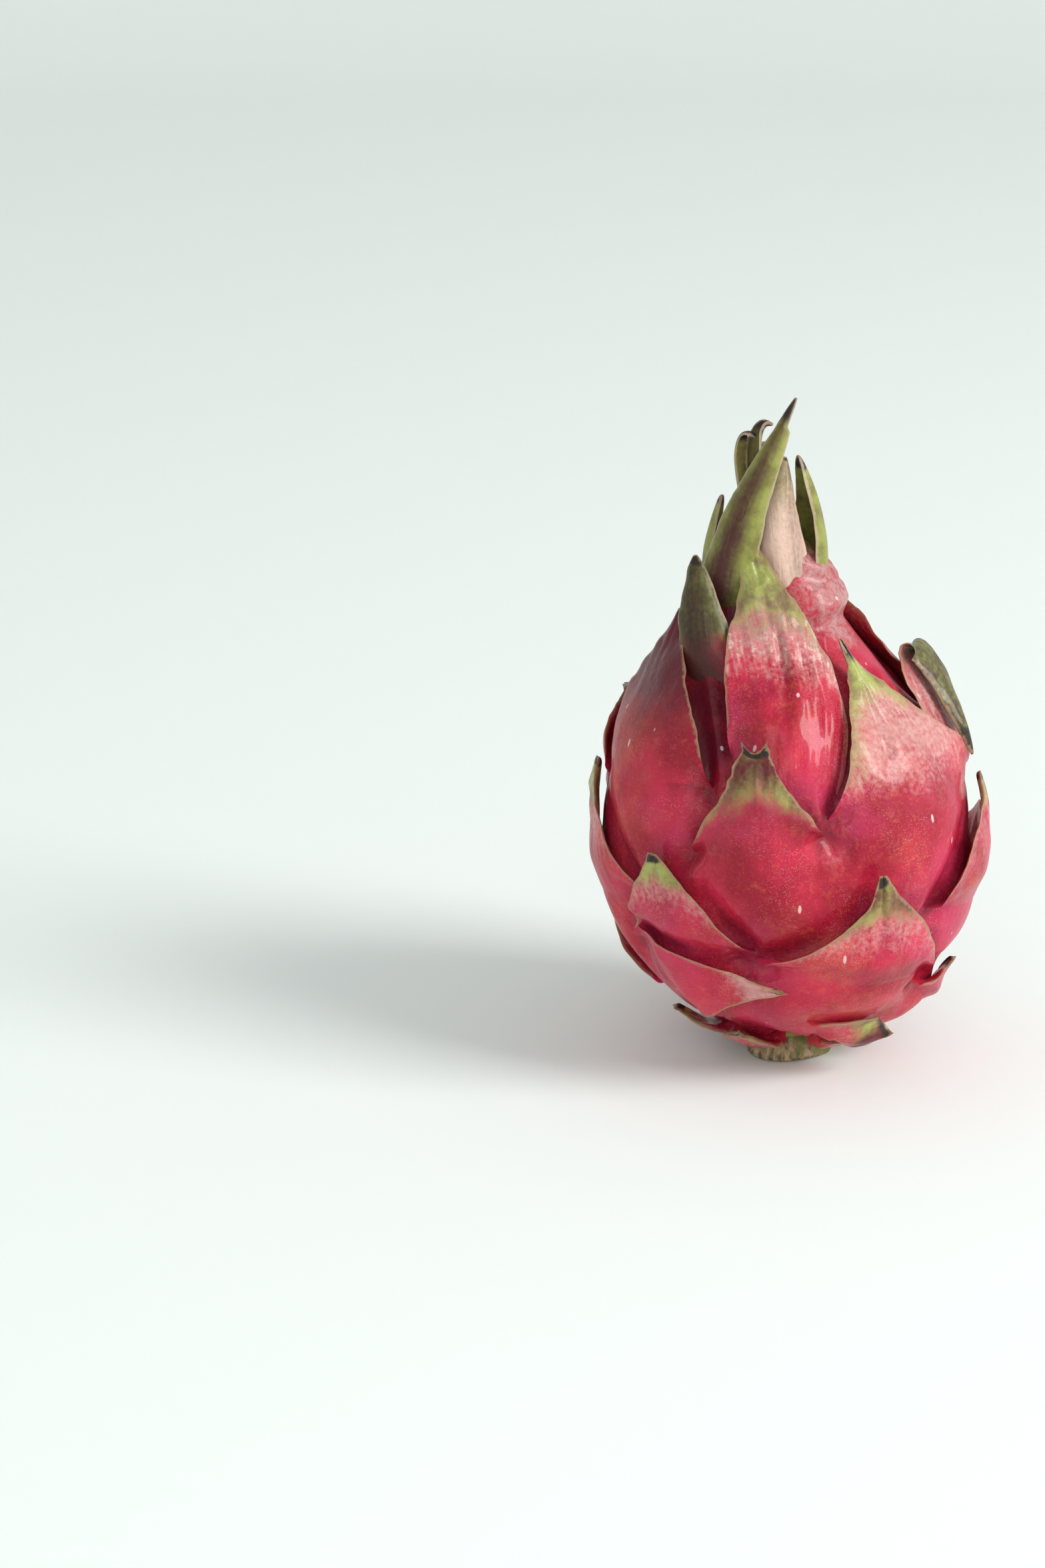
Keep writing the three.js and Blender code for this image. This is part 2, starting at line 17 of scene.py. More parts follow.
import bpy
import numpy as np
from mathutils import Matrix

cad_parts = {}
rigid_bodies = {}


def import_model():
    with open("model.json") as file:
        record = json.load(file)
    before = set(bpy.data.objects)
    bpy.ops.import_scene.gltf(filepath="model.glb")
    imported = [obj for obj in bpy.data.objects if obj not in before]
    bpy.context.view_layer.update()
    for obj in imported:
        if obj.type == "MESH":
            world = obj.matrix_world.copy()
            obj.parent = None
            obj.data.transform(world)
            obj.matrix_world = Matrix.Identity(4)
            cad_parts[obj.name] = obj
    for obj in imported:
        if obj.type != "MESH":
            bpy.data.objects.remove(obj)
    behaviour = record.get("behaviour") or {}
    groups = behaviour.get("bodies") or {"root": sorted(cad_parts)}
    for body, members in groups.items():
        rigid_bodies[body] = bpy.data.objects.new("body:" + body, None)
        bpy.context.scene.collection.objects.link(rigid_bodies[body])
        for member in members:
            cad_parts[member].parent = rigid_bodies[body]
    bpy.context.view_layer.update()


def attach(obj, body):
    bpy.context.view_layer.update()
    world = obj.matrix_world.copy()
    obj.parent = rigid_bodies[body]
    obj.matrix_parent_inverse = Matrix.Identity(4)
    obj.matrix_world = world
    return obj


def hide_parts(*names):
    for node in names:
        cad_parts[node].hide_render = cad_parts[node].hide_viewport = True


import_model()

# %% [markdown]
# ## The dimensions that drive every shape
#
# The outline is half of the body's lengthwise section: three Bezier arcs of radius and
# height. The whole fruit is laid out upright, drifts a little to the left towards its
# neck, and then leans back a few degrees, as a heavy fruit does on a small stub.

# %% Driving dimensions, in millimetres and degrees
MM = 0.001  # one millimetre in metres
LEAN = 3  # the whole fruit leans back by this angle
STUB_HEIGHT = 5
STUB_RADIUS = 10
BEND = 9  # the neck drifts this far to the left ...
BEND_HEIGHT = 110  # ... by this height,
BEND_POWER = 2.5  # ... slowly at first

OUTLINE = [
    [[0, 0], [22, 0], [40.6, 17], [40.6, 48]],
    [[40.6, 48], [40.6, 75], [19.5, 88], [12.5, 106]],
    [[12.5, 106], [10.5, 112], [7, 116], [0, 116]],
]
OUTLINE_STEPS = 400  # samples in each arc, enough for smooth reflections

# %% [markdown]
# ## A few curves to build with
#
# Six small functions turn up everywhere below. *lerp* goes straight from one value to
# another, *ease* goes there with a soft start and a soft end, and *bell* is a hump.
# *bezier* follows a curve of four points and *through* one of three values. They take
# whole arrays, and so does *turn_between*, which knows that 350 degrees is close to 10.


# %% Curves
def lerp(start, end, share):
    """start + (end - start) * share."""
    return start + (end - start) * share


def ease(low, high, value):
    """0 below low, 1 above high, and 3 t^2 - 2 t^3 between them."""
    t = np.clip((value - low) / (np.asarray(high) - low), 0, 1)
    return t * t * (3 - 2 * t)


def bell(distance):
    """exp(-distance^2): 1 in the middle, dying out evenly on both sides."""
    return np.exp(-(distance**2))


def bezier(points, t):
    """The cubic (1-t)^3 a + 3(1-t)^2 t b + 3(1-t) t^2 c + t^3 d of four points."""
    a, b, c, d = np.asarray(points, float)
    t = np.asarray(t, float)[..., None]
    return (1 - t) ** 3 * a + 3 * (1 - t) ** 2 * t * b + 3 * (1 - t) * t**2 * c + t**3 * d


def through(start, middle, end, t):
    """The quadratic curve from start to end that passes the middle value half-way."""
    control = 2 * middle - (start + end) / 2
    return (1 - t) ** 2 * start + 2 * t * (1 - t) * control + t * t * end


def turn_between(a, b):
    """The turn from b to a, between -180 and 180 degrees."""
    return (np.asarray(a, float) - b + 540) % 360 - 180


# %% [markdown]
# ## The smooth skin
#
# The outline is sampled once. For every sample the table below keeps the distance along
# the skin, the radius, the height, and the direction along the skin, so that a point at
# any height above the skin is found by looking four numbers up.

# %% Sample the outline
arc_steps = np.linspace(0, 1, OUTLINE_STEPS + 1)
profile = np.concatenate([bezier(arc, arc_steps)[min(i, 1):] for i, arc in enumerate(OUTLINE)])
profile_way = np.concatenate([[0], np.cumsum(np.hypot(*np.diff(profile, axis=0).T))])
profile_along = np.gradient(profile, axis=0)
profile_along /= np.hypot(*profile_along.T)[:, None]
LENGTH = profile_way[-1]
print("the skin is", round(LENGTH, 1), "mm long from bottom to top")


# %% Points above the skin
def radius_at(way):
    """The body's radius at a way along its skin."""
    return np.interp(way, profile_way, profile[:, 0])


def around(turn, middle, radius):
    """Millimetres round the skin from the middle turn, where the body has this radius."""
    return np.radians(turn_between(turn, middle)) * radius


def skin_point(turn, way, height):
    """Upright coordinates of a point: the outline's radius and height, each moved by
    `height` along the outline's normal, swung round by turn, and drifted to the left by
    BEND * (z / BEND_HEIGHT) ^ BEND_POWER."""
    turn, way, height = np.broadcast_arrays(np.radians(turn), way, height)
    radius = radius_at(way) + np.interp(way, profile_way, profile_along[:, 1]) * height
    z = np.interp(way, profile_way, profile[:, 1])
    z = z - np.interp(way, profile_way, profile_along[:, 0]) * height
    drift = -BEND * np.maximum(z / BEND_HEIGHT, 0) ** BEND_POWER
    return np.stack([drift + radius * np.cos(turn), radius * np.sin(turn), z + STUB_HEIGHT], -1)


def stand(points):
    """Leans upright points back by LEAN about X, and keeps them on or above the table."""
    x, y, z = np.moveaxis(points, -1, 0)
    c = np.cos(radians(LEAN))
    s = np.sin(radians(LEAN))
    return np.stack([x, y * c + z * s, np.maximum(z * c - y * s, 0)], -1)


# %% [markdown]
# ## Where the bracts grow
#
# A scale is given by five places on the skin, each a [turn, way]: its left root corner,
# the point that its left edge passes half-way, its tip, the same for its right edge, and
# its right root corner. Its shape is in a few numbers more:
#
# - *blunt* is half its tip's width in degrees, *beak* how much its last third is drawn
#   in, and *notch* how deep its tip is nicked;
# - *swell* is the height of the cushion it grows from, *lift* how far its tip stands off,
#   and *curve* how late it does so;
# - *wavy* is how far its edges wave, *open* how wide the crevice under them gapes, and
#   *hang* how far its right edge hangs away from the skin.

# %% The scales
PLACES = ("left", "left_middle", "tip", "right_middle", "right")
PLAIN_SCALE = {"blunt": 1.5, "beak": 0.15, "notch": 0, "swell": 3, "lift": 3.5, "curve": 1.6,
               "wavy": 0.45, "open": 1, "hang": 0}


def scale_of(name, places, **shape):
    """A scale as a dictionary: its five places, and PLAIN_SCALE where shape is silent."""
    return {"name": name, **dict(zip(PLACES, places)), **PLAIN_SCALE, **shape}


SCALES = [
    scale_of("bract_front_left", [[-125, 73], [-110.5, 89], [-101, 98.5], [-91.5, 89], [-80, 78.5]],
             blunt=4.5, beak=0, notch=2.5, swell=3.5, lift=3.2),
    scale_of("bract_front_right", [[-79.5, 81.5], [-61.8, 105], [-51, 121], [-31, 106], [2, 82]],
             blunt=1.2, beak=0.3, swell=3.5),
    scale_of("bract_front_low", [[-107, 49], [-79.5, 57], [-65.5, 70.5], [-51.5, 59.5], [-30, 41]],
             blunt=1, beak=0.1, lift=3.2),
    scale_of("bract_front_high", [[-110, 94], [-114, 124], [-95, 145], [-61, 120], [-76, 86]],
             blunt=5, beak=0, lift=3),
    scale_of("bract_right_low", [[-42, 58], [-27, 71.5], [-10, 84], [14, 72], [44, 56]],
             blunt=1, beak=0.5, lift=5.4, curve=0.5),
    scale_of("bract_right_foot", [[-36, 38], [-25, 41], [-13, 43], [6, 34], [20, 22]],
             blunt=2, beak=0.2, swell=5, lift=1.6),
    scale_of("bract_left_foot", [[-152, 54], [-123, 50.5], [-95, 44], [-117, 38], [-136, 28]],
             beak=0, swell=2, lift=0.8),
    scale_of("bract_left", [[171, 88], [-178, 108], [-154, 127], [-131, 110], [-118, 88]],
             beak=0.1, lift=4),
    scale_of("bract_back_left", [[112, 92], [138, 98], [164, 101], [176, 97], [-176, 82]],
             lift=3.4),
    scale_of("bract_right_high", [[2, 96], [4, 117], [32, 130], [56, 117], [66, 98]],
             blunt=2, swell=1.8, lift=1, wavy=1.6),
    scale_of("bract_back_high", [[78, 108], [84, 128], [108, 143], [138, 128], [146, 108]],
             blunt=2.5, lift=4),
    scale_of("bract_back", [[58, 82], [70, 104], [90, 120], [108, 104], [124, 82]],
             swell=3.5, lift=4.5),
    scale_of("bract_back_right_low", [[36, 50], [52, 68], [68, 80], [84, 68], [100, 50]], lift=4),
    scale_of("bract_back_left_low", [[98, 54], [112, 72], [130, 87], [146, 72], [160, 54]]),
    scale_of("bract_left_low", [[158, 58], [170, 74], [-174, 87], [-160, 75], [-144, 60]], lift=3),
    scale_of("bract_front_left_low", [[-156, 48], [-146, 62], [-134, 73], [-120, 63], [-104, 50]]),
    scale_of("foot_back_right", [[18, 28], [32, 42], [46, 52], [60, 42], [74, 30]],
             blunt=2, swell=2),
    scale_of("foot_back", [[72, 28], [86, 43], [102, 54], [118, 43], [130, 30]],
             blunt=2, swell=2, lift=3),
    scale_of("foot_back_left", [[134, 30], [146, 43], [158, 53], [174, 44], [-172, 30]],
             blunt=2, swell=2),
    scale_of("base_right", [[-86, 30], [-62, 31.5], [-39, 27], [-50, 20], [-74, 18]],
             blunt=2, beak=0, swell=2.5, lift=1, open=0.3, hang=4),
    scale_of("base_front_right", [[-70, 16], [-58, 18], [-44, 18], [-50, 12], [-66, 9]],
             blunt=3, beak=0, swell=1, lift=3),
    scale_of("base_back_right", [[20, 10], [32, 18], [46, 24], [62, 18], [74, 10]],
             blunt=5, beak=0, swell=1, lift=2.6),
    scale_of("base_back", [[78, 10], [88, 18], [104, 24], [120, 18], [130, 10]],
             blunt=5, beak=0, swell=1, lift=2.6),
    scale_of("base_left", [[150, 12], [164, 20], [-176, 26], [-160, 20], [-148, 12]],
             blunt=4, beak=0, swell=1, lift=2.6),
    scale_of("base_front_left", [[-146, 14], [-134, 22], [-118, 27], [-104, 21], [-94, 13]],
             blunt=4, beak=0, swell=1, lift=2),
]
print(len(SCALES), "scales")

# %% [markdown]
# ## The outline of a scale
#
# The two free edges of a scale are smooth curves on the skin, each from a root corner to
# the tip. Any point of the scale lies on a straight line between them. Two numbers name
# it: *s* goes from 0 at the root to 1 at the tip, and *v* from -1 at the left edge to 1
# at the right one.

# %% The outline of a scale
ROOT_SAG = 0.12  # the middle of its root hangs lower, as a share of its length
NICK_START = 0.75  # a nicked tip begins to part this far up
BEAK_START = 0.6  # a beaked tip is drawn in from here


def scale_place(scale, s, v):
    """The turn and way of a point: between two quadratic margins, drawn in near the tip
    by the beak, with the root's middle hanging down and the tip's middle nicked."""
    first = scale["left"][0]
    _, left, tip, right, corner = (turn_between(scale[place][0], first) for place in PLACES)
    left = through(0, left, tip - scale["blunt"], s)
    right = through(corner, right, tip + scale["blunt"], s)
    left_way = through(scale["left"][1], scale["left_middle"][1], scale["tip"][1], s)
    right_way = through(scale["right"][1], scale["right_middle"][1], scale["tip"][1], s)
    t = np.clip((s - BEAK_START) / (1 - BEAK_START), 0, 1)
    half = 0.5 * (1 - scale["beak"] * 4 * t * (1 - t)) * v
    nick = scale["notch"] * (1 - v**2) * ease(NICK_START, 1, s)
    sag = ROOT_SAG * abs(scale["tip"][1] - scale["left"][1]) * (1 - v**2) * (1 - s)
    turn = first + (left + right) / 2 + half * (right - left)
    return turn, (left_way + right_way) / 2 + half * (right_way - left_way) - nick - sag


# %% [markdown]
# ## The swollen skin
#
# Each bract pulls the skin up into a cushion under its root: a bell-shaped hill, longer
# below the root than above it. Where two hills meet, the higher one should win without
# a hard line, so they are joined by the fourth root of the sum of fourth powers. The
# bracts of the crown have cushions too, given outright. The first is the collar that
# bulges under the crown at the right.

# %% Cushions
CUSHION_HALF = 0.42  # half a cushion's breadth, as a share of its root's
CUSHION_SHIFT = 0.25  # drift of its middle towards the tip's side
CUSHION_BELOW = [0.45, 8]  # its reach below the root: share of the length, and more
CUSHION_ABOVE = [0.3, 4]
BLEND = 4

CROWN_CUSHIONS = [
    {"at": [-18, 131.2], "half": 11, "below": 4, "above": 15, "swell": 5.2, "power": 4},
    {"at": [-140, 112], "half": 12, "below": 16, "above": 12, "swell": 2.5},
    {"at": [170, 118], "half": 12, "below": 14, "above": 12, "swell": 2.5},
    {"at": [80, 122], "half": 12, "below": 14, "above": 12, "swell": 2.5},
    {"at": [-7, 91], "half": 13, "below": 16, "above": 10, "swell": 4.2},
]


def cushion_of(scale):
    """The cushion at the middle of a scale's root, as broad and long as the scale asks."""
    span = turn_between(scale["right"][0], scale["left"][0])
    way = (scale["left"][1] + scale["right"][1]) / 2
    middle = scale["left"][0] + span / 2
    length = abs(scale["tip"][1] - way)
    return {
        "at": [middle + CUSHION_SHIFT * turn_between(scale["tip"][0], middle), way],
        "half": CUSHION_HALF * np.radians(span) * radius_at(way),
        "below": CUSHION_BELOW[0] * length + CUSHION_BELOW[1],
        "above": CUSHION_ABOVE[0] * length + CUSHION_ABOVE[1],
        "swell": scale["swell"],
    }


cushions = [cushion_of(scale) for scale in SCALES] + CROWN_CUSHIONS
print(len(cushions), "cushions")


def swelling(turn, way):
    """Height of the cushions above the smooth skin: the fourth root of the sum of
    (swell * exp(-(across / half)^2 - (along / reach)^power))^4 over all of them."""
    radius = radius_at(way)
    total = 0
    for cushion in cushions:
        across = around(turn, cushion["at"][0], radius) / cushion["half"]
        along = way - cushion["at"][1]
        along = np.abs(along) / np.where(along < 0, cushion["below"], cushion["above"])
        hill = np.exp(-(across**2) - along ** cushion.get("power", 2))
        total = total + (cushion["swell"] * hill) ** BLEND
    return total ** (1 / BLEND)


# %% [markdown]
# ## Valleys
#
# Skin that comes out from under a scale's free edge dips before it does so. The valley
# is deepest at the root corners, where it runs on downwards between two cushions. A
# scale that grows from higher up dips in the same way under those that lie over it.

# %% Valleys along the free edges
VALLEY_DEPTH = 2.6
VALLEY_HALF = 3.6  # half its breadth
VALLEY_FROM = -0.3  # it runs on below the root corner by this share of the edge ...
VALLEY_TO = 0.95  # ... and up to here
VALLEY_TIP = 0.33  # share of its depth that is left towards the tip
VALLEY_STEPS = 80  # points that each edge is sampled at
SEARCH_WAY = 9  # only skin this near an edge is looked at, in millimetres ...
SEARCH_TURN = 60  # ... and in degrees from its middle


def lies_over(scale, other):
    """A scale that grows from lower down lies over one from higher up."""
    return scale["left"][1] + scale["right"][1] < other["left"][1] + other["right"][1]


def valleys(turn, way, under=None):
    """Depth of the valleys: a bell of the distance to the nearest point of an edge,
    fading out below the root corner and easing to a third towards the tip. Where under
    is a scale, only the edges of the scales that lie over it count."""
    over = [scale for scale in SCALES if under is None or lies_over(scale, under)]
    depth = np.zeros(np.shape(turn))
    radius = radius_at(way)
    s = np.linspace(VALLEY_FROM, VALLEY_TO, VALLEY_STEPS)
    strength = VALLEY_DEPTH * ease(VALLEY_FROM, 0, s) * lerp(1, VALLEY_TIP, ease(0.1, 0.8, s))
    for scale, side in product(over, (-1.0, 1.0)):
        line_turn, line_way = scale_place(scale, s, side)
        near = (way > line_way.min() - SEARCH_WAY) & (way < line_way.max() + SEARCH_WAY)
        near &= np.abs(turn_between(turn, line_turn[VALLEY_STEPS // 2])) < SEARCH_TURN
        across = around(turn[near][:, None], line_turn, radius[near][:, None])
        distance = np.hypot(across, way[near][:, None] - line_way)
        found = strength[distance.argmin(axis=1)] * bell(distance.min(axis=1) / VALLEY_HALF)
        depth[near] = np.maximum(depth[near], found * scale["open"])
    return depth


# %% [markdown]
# ## Unevenness
#
# Real skin is never quite smooth. *lumps* is a value noise: random numbers sit at the
# corners of a lattice of cubes, and a point takes a smooth mix of the eight round it.
# *layered* puts a few such noises on top of each other, each with its height, the size
# of its lumps in millimetres, and a seed that makes it a noise of its own.

# %% Noise
random_values = np.random.default_rng(11).uniform(-1, 1, 4096)
HASH_PRIMES = np.array([73856093, 19349663, 83492791])
SEED_STEP = 17.3  # how far one seed's noise is shifted from the next one's, in cells


def lumps(points, size, seed):
    """Smooth values from -1 to 1 at points in millimetres, with lumps about size across.
    size may be one number or one for each axis."""
    scaled = np.asarray(points, float) / size + seed * SEED_STEP
    cell = np.floor(scaled).astype(np.int64)
    share = scaled - cell
    share = share * share * (3 - 2 * share)
    total = 0
    for corner in product((0, 1), repeat=3):
        key = np.bitwise_xor.reduce((cell + corner) * HASH_PRIMES, axis=-1) % random_values.size
        total = total + random_values[key] * np.prod(np.where(corner, share, 1 - share), -1)
    return total


def layered(points, *layers):
    """The sum of height * lumps(points, size, seed) over its (height, size, seed) layers."""
    return sum(height * lumps(points, size, seed) for height, size, seed in layers)


def seed_of(piece, first):
    """A seed for a piece that hangs on its name alone, counted on from first."""
    return first + sum(map(ord, piece["name"])) % 50


print("noise from", random_values.size, "random values")

# %% [markdown]
# The skin has three sorts of relief: gentle hollows all over, lengthwise puckers where
# two bracts' root corners squeeze it, and the knobbly collar under the crown.

# %% The skin's relief
HOLLOWS = [(0.5, 22, 1), (0.22, 10, 2), (0.09, 5, 3)]
KNOBS = [(0.8, 4, 4), (0.35, 2.2, 6)]
KNOBS_TURN = [-20, 55]  # the middle of the knobbly collar and its reach, in degrees
KNOBS_FROM = [124, 130]  # the knobs begin between these ways ...
KNOBS_TO = [146, 141]  # ... and end between these
PUCKER_DEPTH = 0.45
PUCKER_SIZE = (2.2, 2.2, 9)  # they are about four times as long as broad
PUCKER_REACH = [4, 6, 8]  # how far below the corner they are, and reach across and along


def near_corners(turn, way, low, across_reach, way_reach):
    """A bell about each root corner, moved down by low, for each scale in turn."""
    for scale in SCALES:
        for corner in (scale["left"], scale["right"]):
            across = around(turn, corner[0], radius_at(way))
            yield scale, bell(across / across_reach) * bell((way - corner[1] + low) / way_reach)


def puckers(turn, way, points):
    """Lengthwise wrinkles round each scale's root corners, deeper where it swells more."""
    hills = near_corners(turn, way, *PUCKER_REACH)
    near = sum(scale["swell"] / 3 * hill for scale, hill in hills)
    return PUCKER_DEPTH * np.minimum(near, 1) * lumps(points, PUCKER_SIZE, 5)


def relief(turn, way):
    """Unevenness of the skin: the hollows, the puckers and the knobs of the collar."""
    points = skin_point(turn, way, 0)
    middle, reach = KNOBS_TURN
    collar = bell(turn_between(turn, middle) / reach)
    collar = collar * ease(*KNOBS_FROM, way) * ease(*KNOBS_TO, way)
    return layered(points, *HOLLOWS) + puckers(turn, way, points) + collar * layered(points, *KNOBS)


# %% [markdown]
# ## From arrays to meshes
#
# Each piece is made once, at its place, with named values on its points: how green, how
# pale, how flushed with purple and how dry the surface is there, how far it is from a
# free edge, and how much its colours run in streaks. The flush value also carries painted
# shade, in maroon, in crevices and shaded places. The materials read these values. A
# map called *grain* runs across and along each leaf in centimetres, for patterns that
# follow the leaf.

# %% Pieces
# flush holds the purple flush and also painted shade in crevices and shaded places
MARKS = ("greenness", "paleness", "flush", "dryness", "edge", "streakiness")
CM = 0.1  # one millimetre in centimetres
pieces = {}


def add_object(name, data):
    """Puts a mesh, a lamp or a camera into the scene."""
    thing = bpy.data.objects.new(name, data)
    bpy.context.scene.collection.objects.link(thing)
    return thing


def make_piece(name, points, faces, marks, grain):
    """A smooth mesh from points in millimetres, its faces and its values."""
    mesh = bpy.data.meshes.new(name)
    mesh.from_pydata((points * MM).tolist(), [], faces)
    for mark in MARKS:
        values = np.broadcast_to(np.float32(marks[mark]), len(points)).copy()
        mesh.attributes.new(mark, "FLOAT", "POINT").data.foreach_set("value", values)
    corner = np.empty(len(mesh.loops), np.int32)
    mesh.loops.foreach_get("vertex_index", corner)
    uv = grain[corner].astype(np.float32).ravel()
    mesh.uv_layers.new(name="grain").data.foreach_set("uv", uv)
    mesh.shade_smooth()
    mesh.update()
    pieces[name] = add_object(name, mesh)


print("every piece carries", ", ".join(MARKS), "and its grain")

# %% [markdown]
# ## The body
#
# The body is a grid of rings, closed by a single point at the bottom and at the top.
# Its radius comes from the outline, and its height above that from cushions, valleys and
# relief.

# %% The body's points and faces
BODY_AROUND = 312
BODY_ALONG = 316


def ring_faces(rings, count):
    """Quads between rings of points, after a first single point and before a last one."""
    index = 1 + np.arange(rings * count).reshape(rings, count)
    nxt = np.roll(index, -1, axis=1)
    quads = np.stack([index[:-1], nxt[:-1], nxt[1:], index[1:]], -1).reshape(-1, 4).tolist()
    last = 1 + rings * count
    bottom = [[0, b, a] for a, b in zip(index[0].tolist(), nxt[0].tolist())]
    top = [[last, a, b] for a, b in zip(index[-1].tolist(), nxt[-1].tolist())]
    return bottom + quads + top


def closed_rings(grid, bottom, top):
    """All points of a closed body: the bottom point, the rings, the top point."""
    return np.concatenate([[bottom], grid.reshape(-1, grid.shape[-1]), [top]])


body_way = LENGTH * np.arange(1, BODY_ALONG) / BODY_ALONG
body_turn = 360 * np.arange(BODY_AROUND) / BODY_AROUND
turn_grid, way_grid = np.meshgrid(body_turn, body_way)
body_valleys = valleys(turn_grid, way_grid)
body_height = swelling(turn_grid, way_grid) + relief(turn_grid, way_grid) - body_valleys
body_grid = skin_point(turn_grid, way_grid, body_height)
body_points = closed_rings(body_grid, skin_point(0, 0, 0), skin_point(0, LENGTH, 0))
print("body:", len(body_points), "points")

# %% [markdown]
# The skin is palest on the collar under the crown, where it has stretched most, and in
# the puckers between two roots. It goes a little green round the stem and at the neck.
# Shade is painted on it in maroon: in the crevices and between the crown's left bracts.

# %% The body's colouring
COLLAR_PALE = 0.56
COLLAR_TURN = [-30, 70]  # the pale collar's middle and reach, in degrees
COLLAR_FROM = [118, 128]  # it sets in between these ways
CORNER_PALE = 0.2
CORNER_REACH = [2, 5, 6]  # as PUCKER_REACH
FOOT_GREEN = 0.8
FOOT_WAYS = [16, 11]  # green sets in between these ways, towards the stem ...
NECK_WAYS = [138, 146]  # ... and between these, towards the crown
CREVICE_SHADE_WAYS = [18, 36]  # and the painted crevice shade, in maroon, sets in between these
CREVICE_SHADE = 0.5  # how strongly shade is painted in maroon deep under a free edge
PAINTED_SHADE_SPOTS = [[-114, 130, 9], [-126, 107, 9], [-124, 98, 10]]  # painted shade, in maroon, at [turn, way, reach]
FAR_FROM_EDGES = 9.0  # millimetres, for a piece without a free edge
BODY_STREAKS = 0.25
GRAIN_RADIUS = 3.5  # centimetres, for a grain that runs round the body


def painted_crevice_shade(depth):
    """Painted shade in a crevice, as a share of maroon, at a depth of the valleys: none in a shallow
    one.
    """
    return CREVICE_SHADE * ease(0.3, 1, depth / VALLEY_DEPTH)


def body_marks():
    """Collar and root corners pale, the rim of the stem hollow and the neck greenish,
    crevices and shaded places painted maroon as shade."""
    middle, breadth = COLLAR_TURN
    collar = ease(*COLLAR_FROM, way_grid + 5 * lumps(body_grid, 9, 7))
    collar = bell(turn_between(turn_grid, middle) / breadth) * collar
    corners = sum(hill for _, hill in near_corners(turn_grid, way_grid, *CORNER_REACH))
    pale = COLLAR_PALE * collar + CORNER_PALE * np.minimum(corners, 1)
    green = FOOT_GREEN * ease(*FOOT_WAYS, way_grid + 2 * lumps(body_grid, 5, 8))
    green = green + ease(*NECK_WAYS, way_grid)
    dark_red_and_shade = painted_crevice_shade(body_valleys) * ease(*CREVICE_SHADE_WAYS, way_grid)
    for turn, way, reach in PAINTED_SHADE_SPOTS:
        across = around(turn_grid, turn, radius_at(way_grid))
        dark_red_and_shade = np.maximum(dark_red_and_shade, bell(np.hypot(across, way_grid - way) / reach))
    grids = {"greenness": green, "paleness": pale * (1 - dark_red_and_shade), "flush": dark_red_and_shade, "dryness": 0 * pale}
    marks = {"edge": FAR_FROM_EDGES, "streakiness": BODY_STREAKS}
    for mark, grid in grids.items():
        marks[mark] = np.concatenate([[grid[0, 0]], grid.ravel(), [grid[-1, 0]]])
    return marks


body_grain = np.stack([np.radians(turn_grid) * GRAIN_RADIUS, way_grid * CM], -1)
make_piece(
    "fine_fruit_body",
    stand(body_points),
    ring_faces(BODY_ALONG - 1, BODY_AROUND),
    body_marks(),
    closed_rings(body_grain, body_grain[0, 0], body_grain[-1, 0]),
)
print("made", list(pieces))

# %% [markdown]
# ## Leaves of two faces
#
# A leaf is a thick sheet. Its outer and its inner face are two grids, rows from root to
# tip and columns from edge to edge, that share their side edges and their last row. The
# columns crowd towards the edges, so that the thin rim comes out round.

# %% Leaf grids
SCALE_GRID = (84, 60)  # rows and columns
ROW_CROWDING = 1.25  # power by which rows crowd towards the tip


def leaf_parameters(rows, columns):
    """s from 0 at the root to 1 at the tip, closer together there, and v from -1 to 1."""
    s = 1 - (1 - np.linspace(0, 1, rows)) ** ROW_CROWDING
    v = np.sin(np.linspace(-pi / 2, pi / 2, columns))
    return np.meshgrid(s, v, indexing="ij")


def leaf_index(rows, columns):
    """Point numbers of the outer grid and of the inner one, which borrows the rim."""
    outer = np.arange(rows * columns).reshape(rows, columns)
    inner = outer.copy()
    inner[:-1, 1:-1] = outer.size + np.arange((rows - 1) * (columns - 2)).reshape(rows - 1, -1)
    return outer, inner


def leaf_faces(rows, columns):
    """Quads over both faces, and a strip that closes the root."""
    outer, inner = leaf_index(rows, columns)

    def quads(a, b, c, d):
        return np.stack([a, b, c, d], -1).reshape(-1, 4).tolist()

    front = quads(outer[:-1, :-1], outer[:-1, 1:], outer[1:, 1:], outer[1:, :-1])
    back = quads(inner[:-1, :-1], inner[1:, :-1], inner[1:, 1:], inner[:-1, 1:])
    root = quads(inner[0, :-1], inner[0, 1:], outer[0, 1:], outer[0, :-1])
    root[0] = [outer[0, 0], inner[0, 1], outer[0, 1]]
    root[-1] = [inner[0, -2], outer[0, -1], outer[0, -2]]
    return front + back + [list(map(int, face)) for face in root]


def stack_leaf(outer, inner):
    """The values of both faces, in the order of leaf_index."""
    tail = outer.shape[2:]
    return np.concatenate([outer.reshape(-1, *tail), inner[:-1, 1:-1].reshape(-1, *tail)])


def rim(s, v):
    """Thickness at the rim, as a share: it closes as a root of 1 - |v|^14 and 1 - s^40."""
    return np.sqrt(np.maximum(1 - np.abs(v) ** 14, 0)) * np.sqrt(np.maximum(1 - s**40, 0))


def make_leaf(name, s, v, length, half, faces, marks):
    """One closed leaf from the grids of its outer and inner face, and of their marks."""
    grain = np.stack([v * half, s * length], -1) * CM
    marks = {mark: stack_leaf(*pair) for mark, pair in marks.items()}
    points = stack_leaf(*(stand(face) for face in faces))
    make_piece("fine_" + name, points, leaf_faces(*s.shape), marks, stack_leaf(grain, grain))


print("a scale has", SCALE_GRID[0], "rows and", SCALE_GRID[1], "columns on each face")
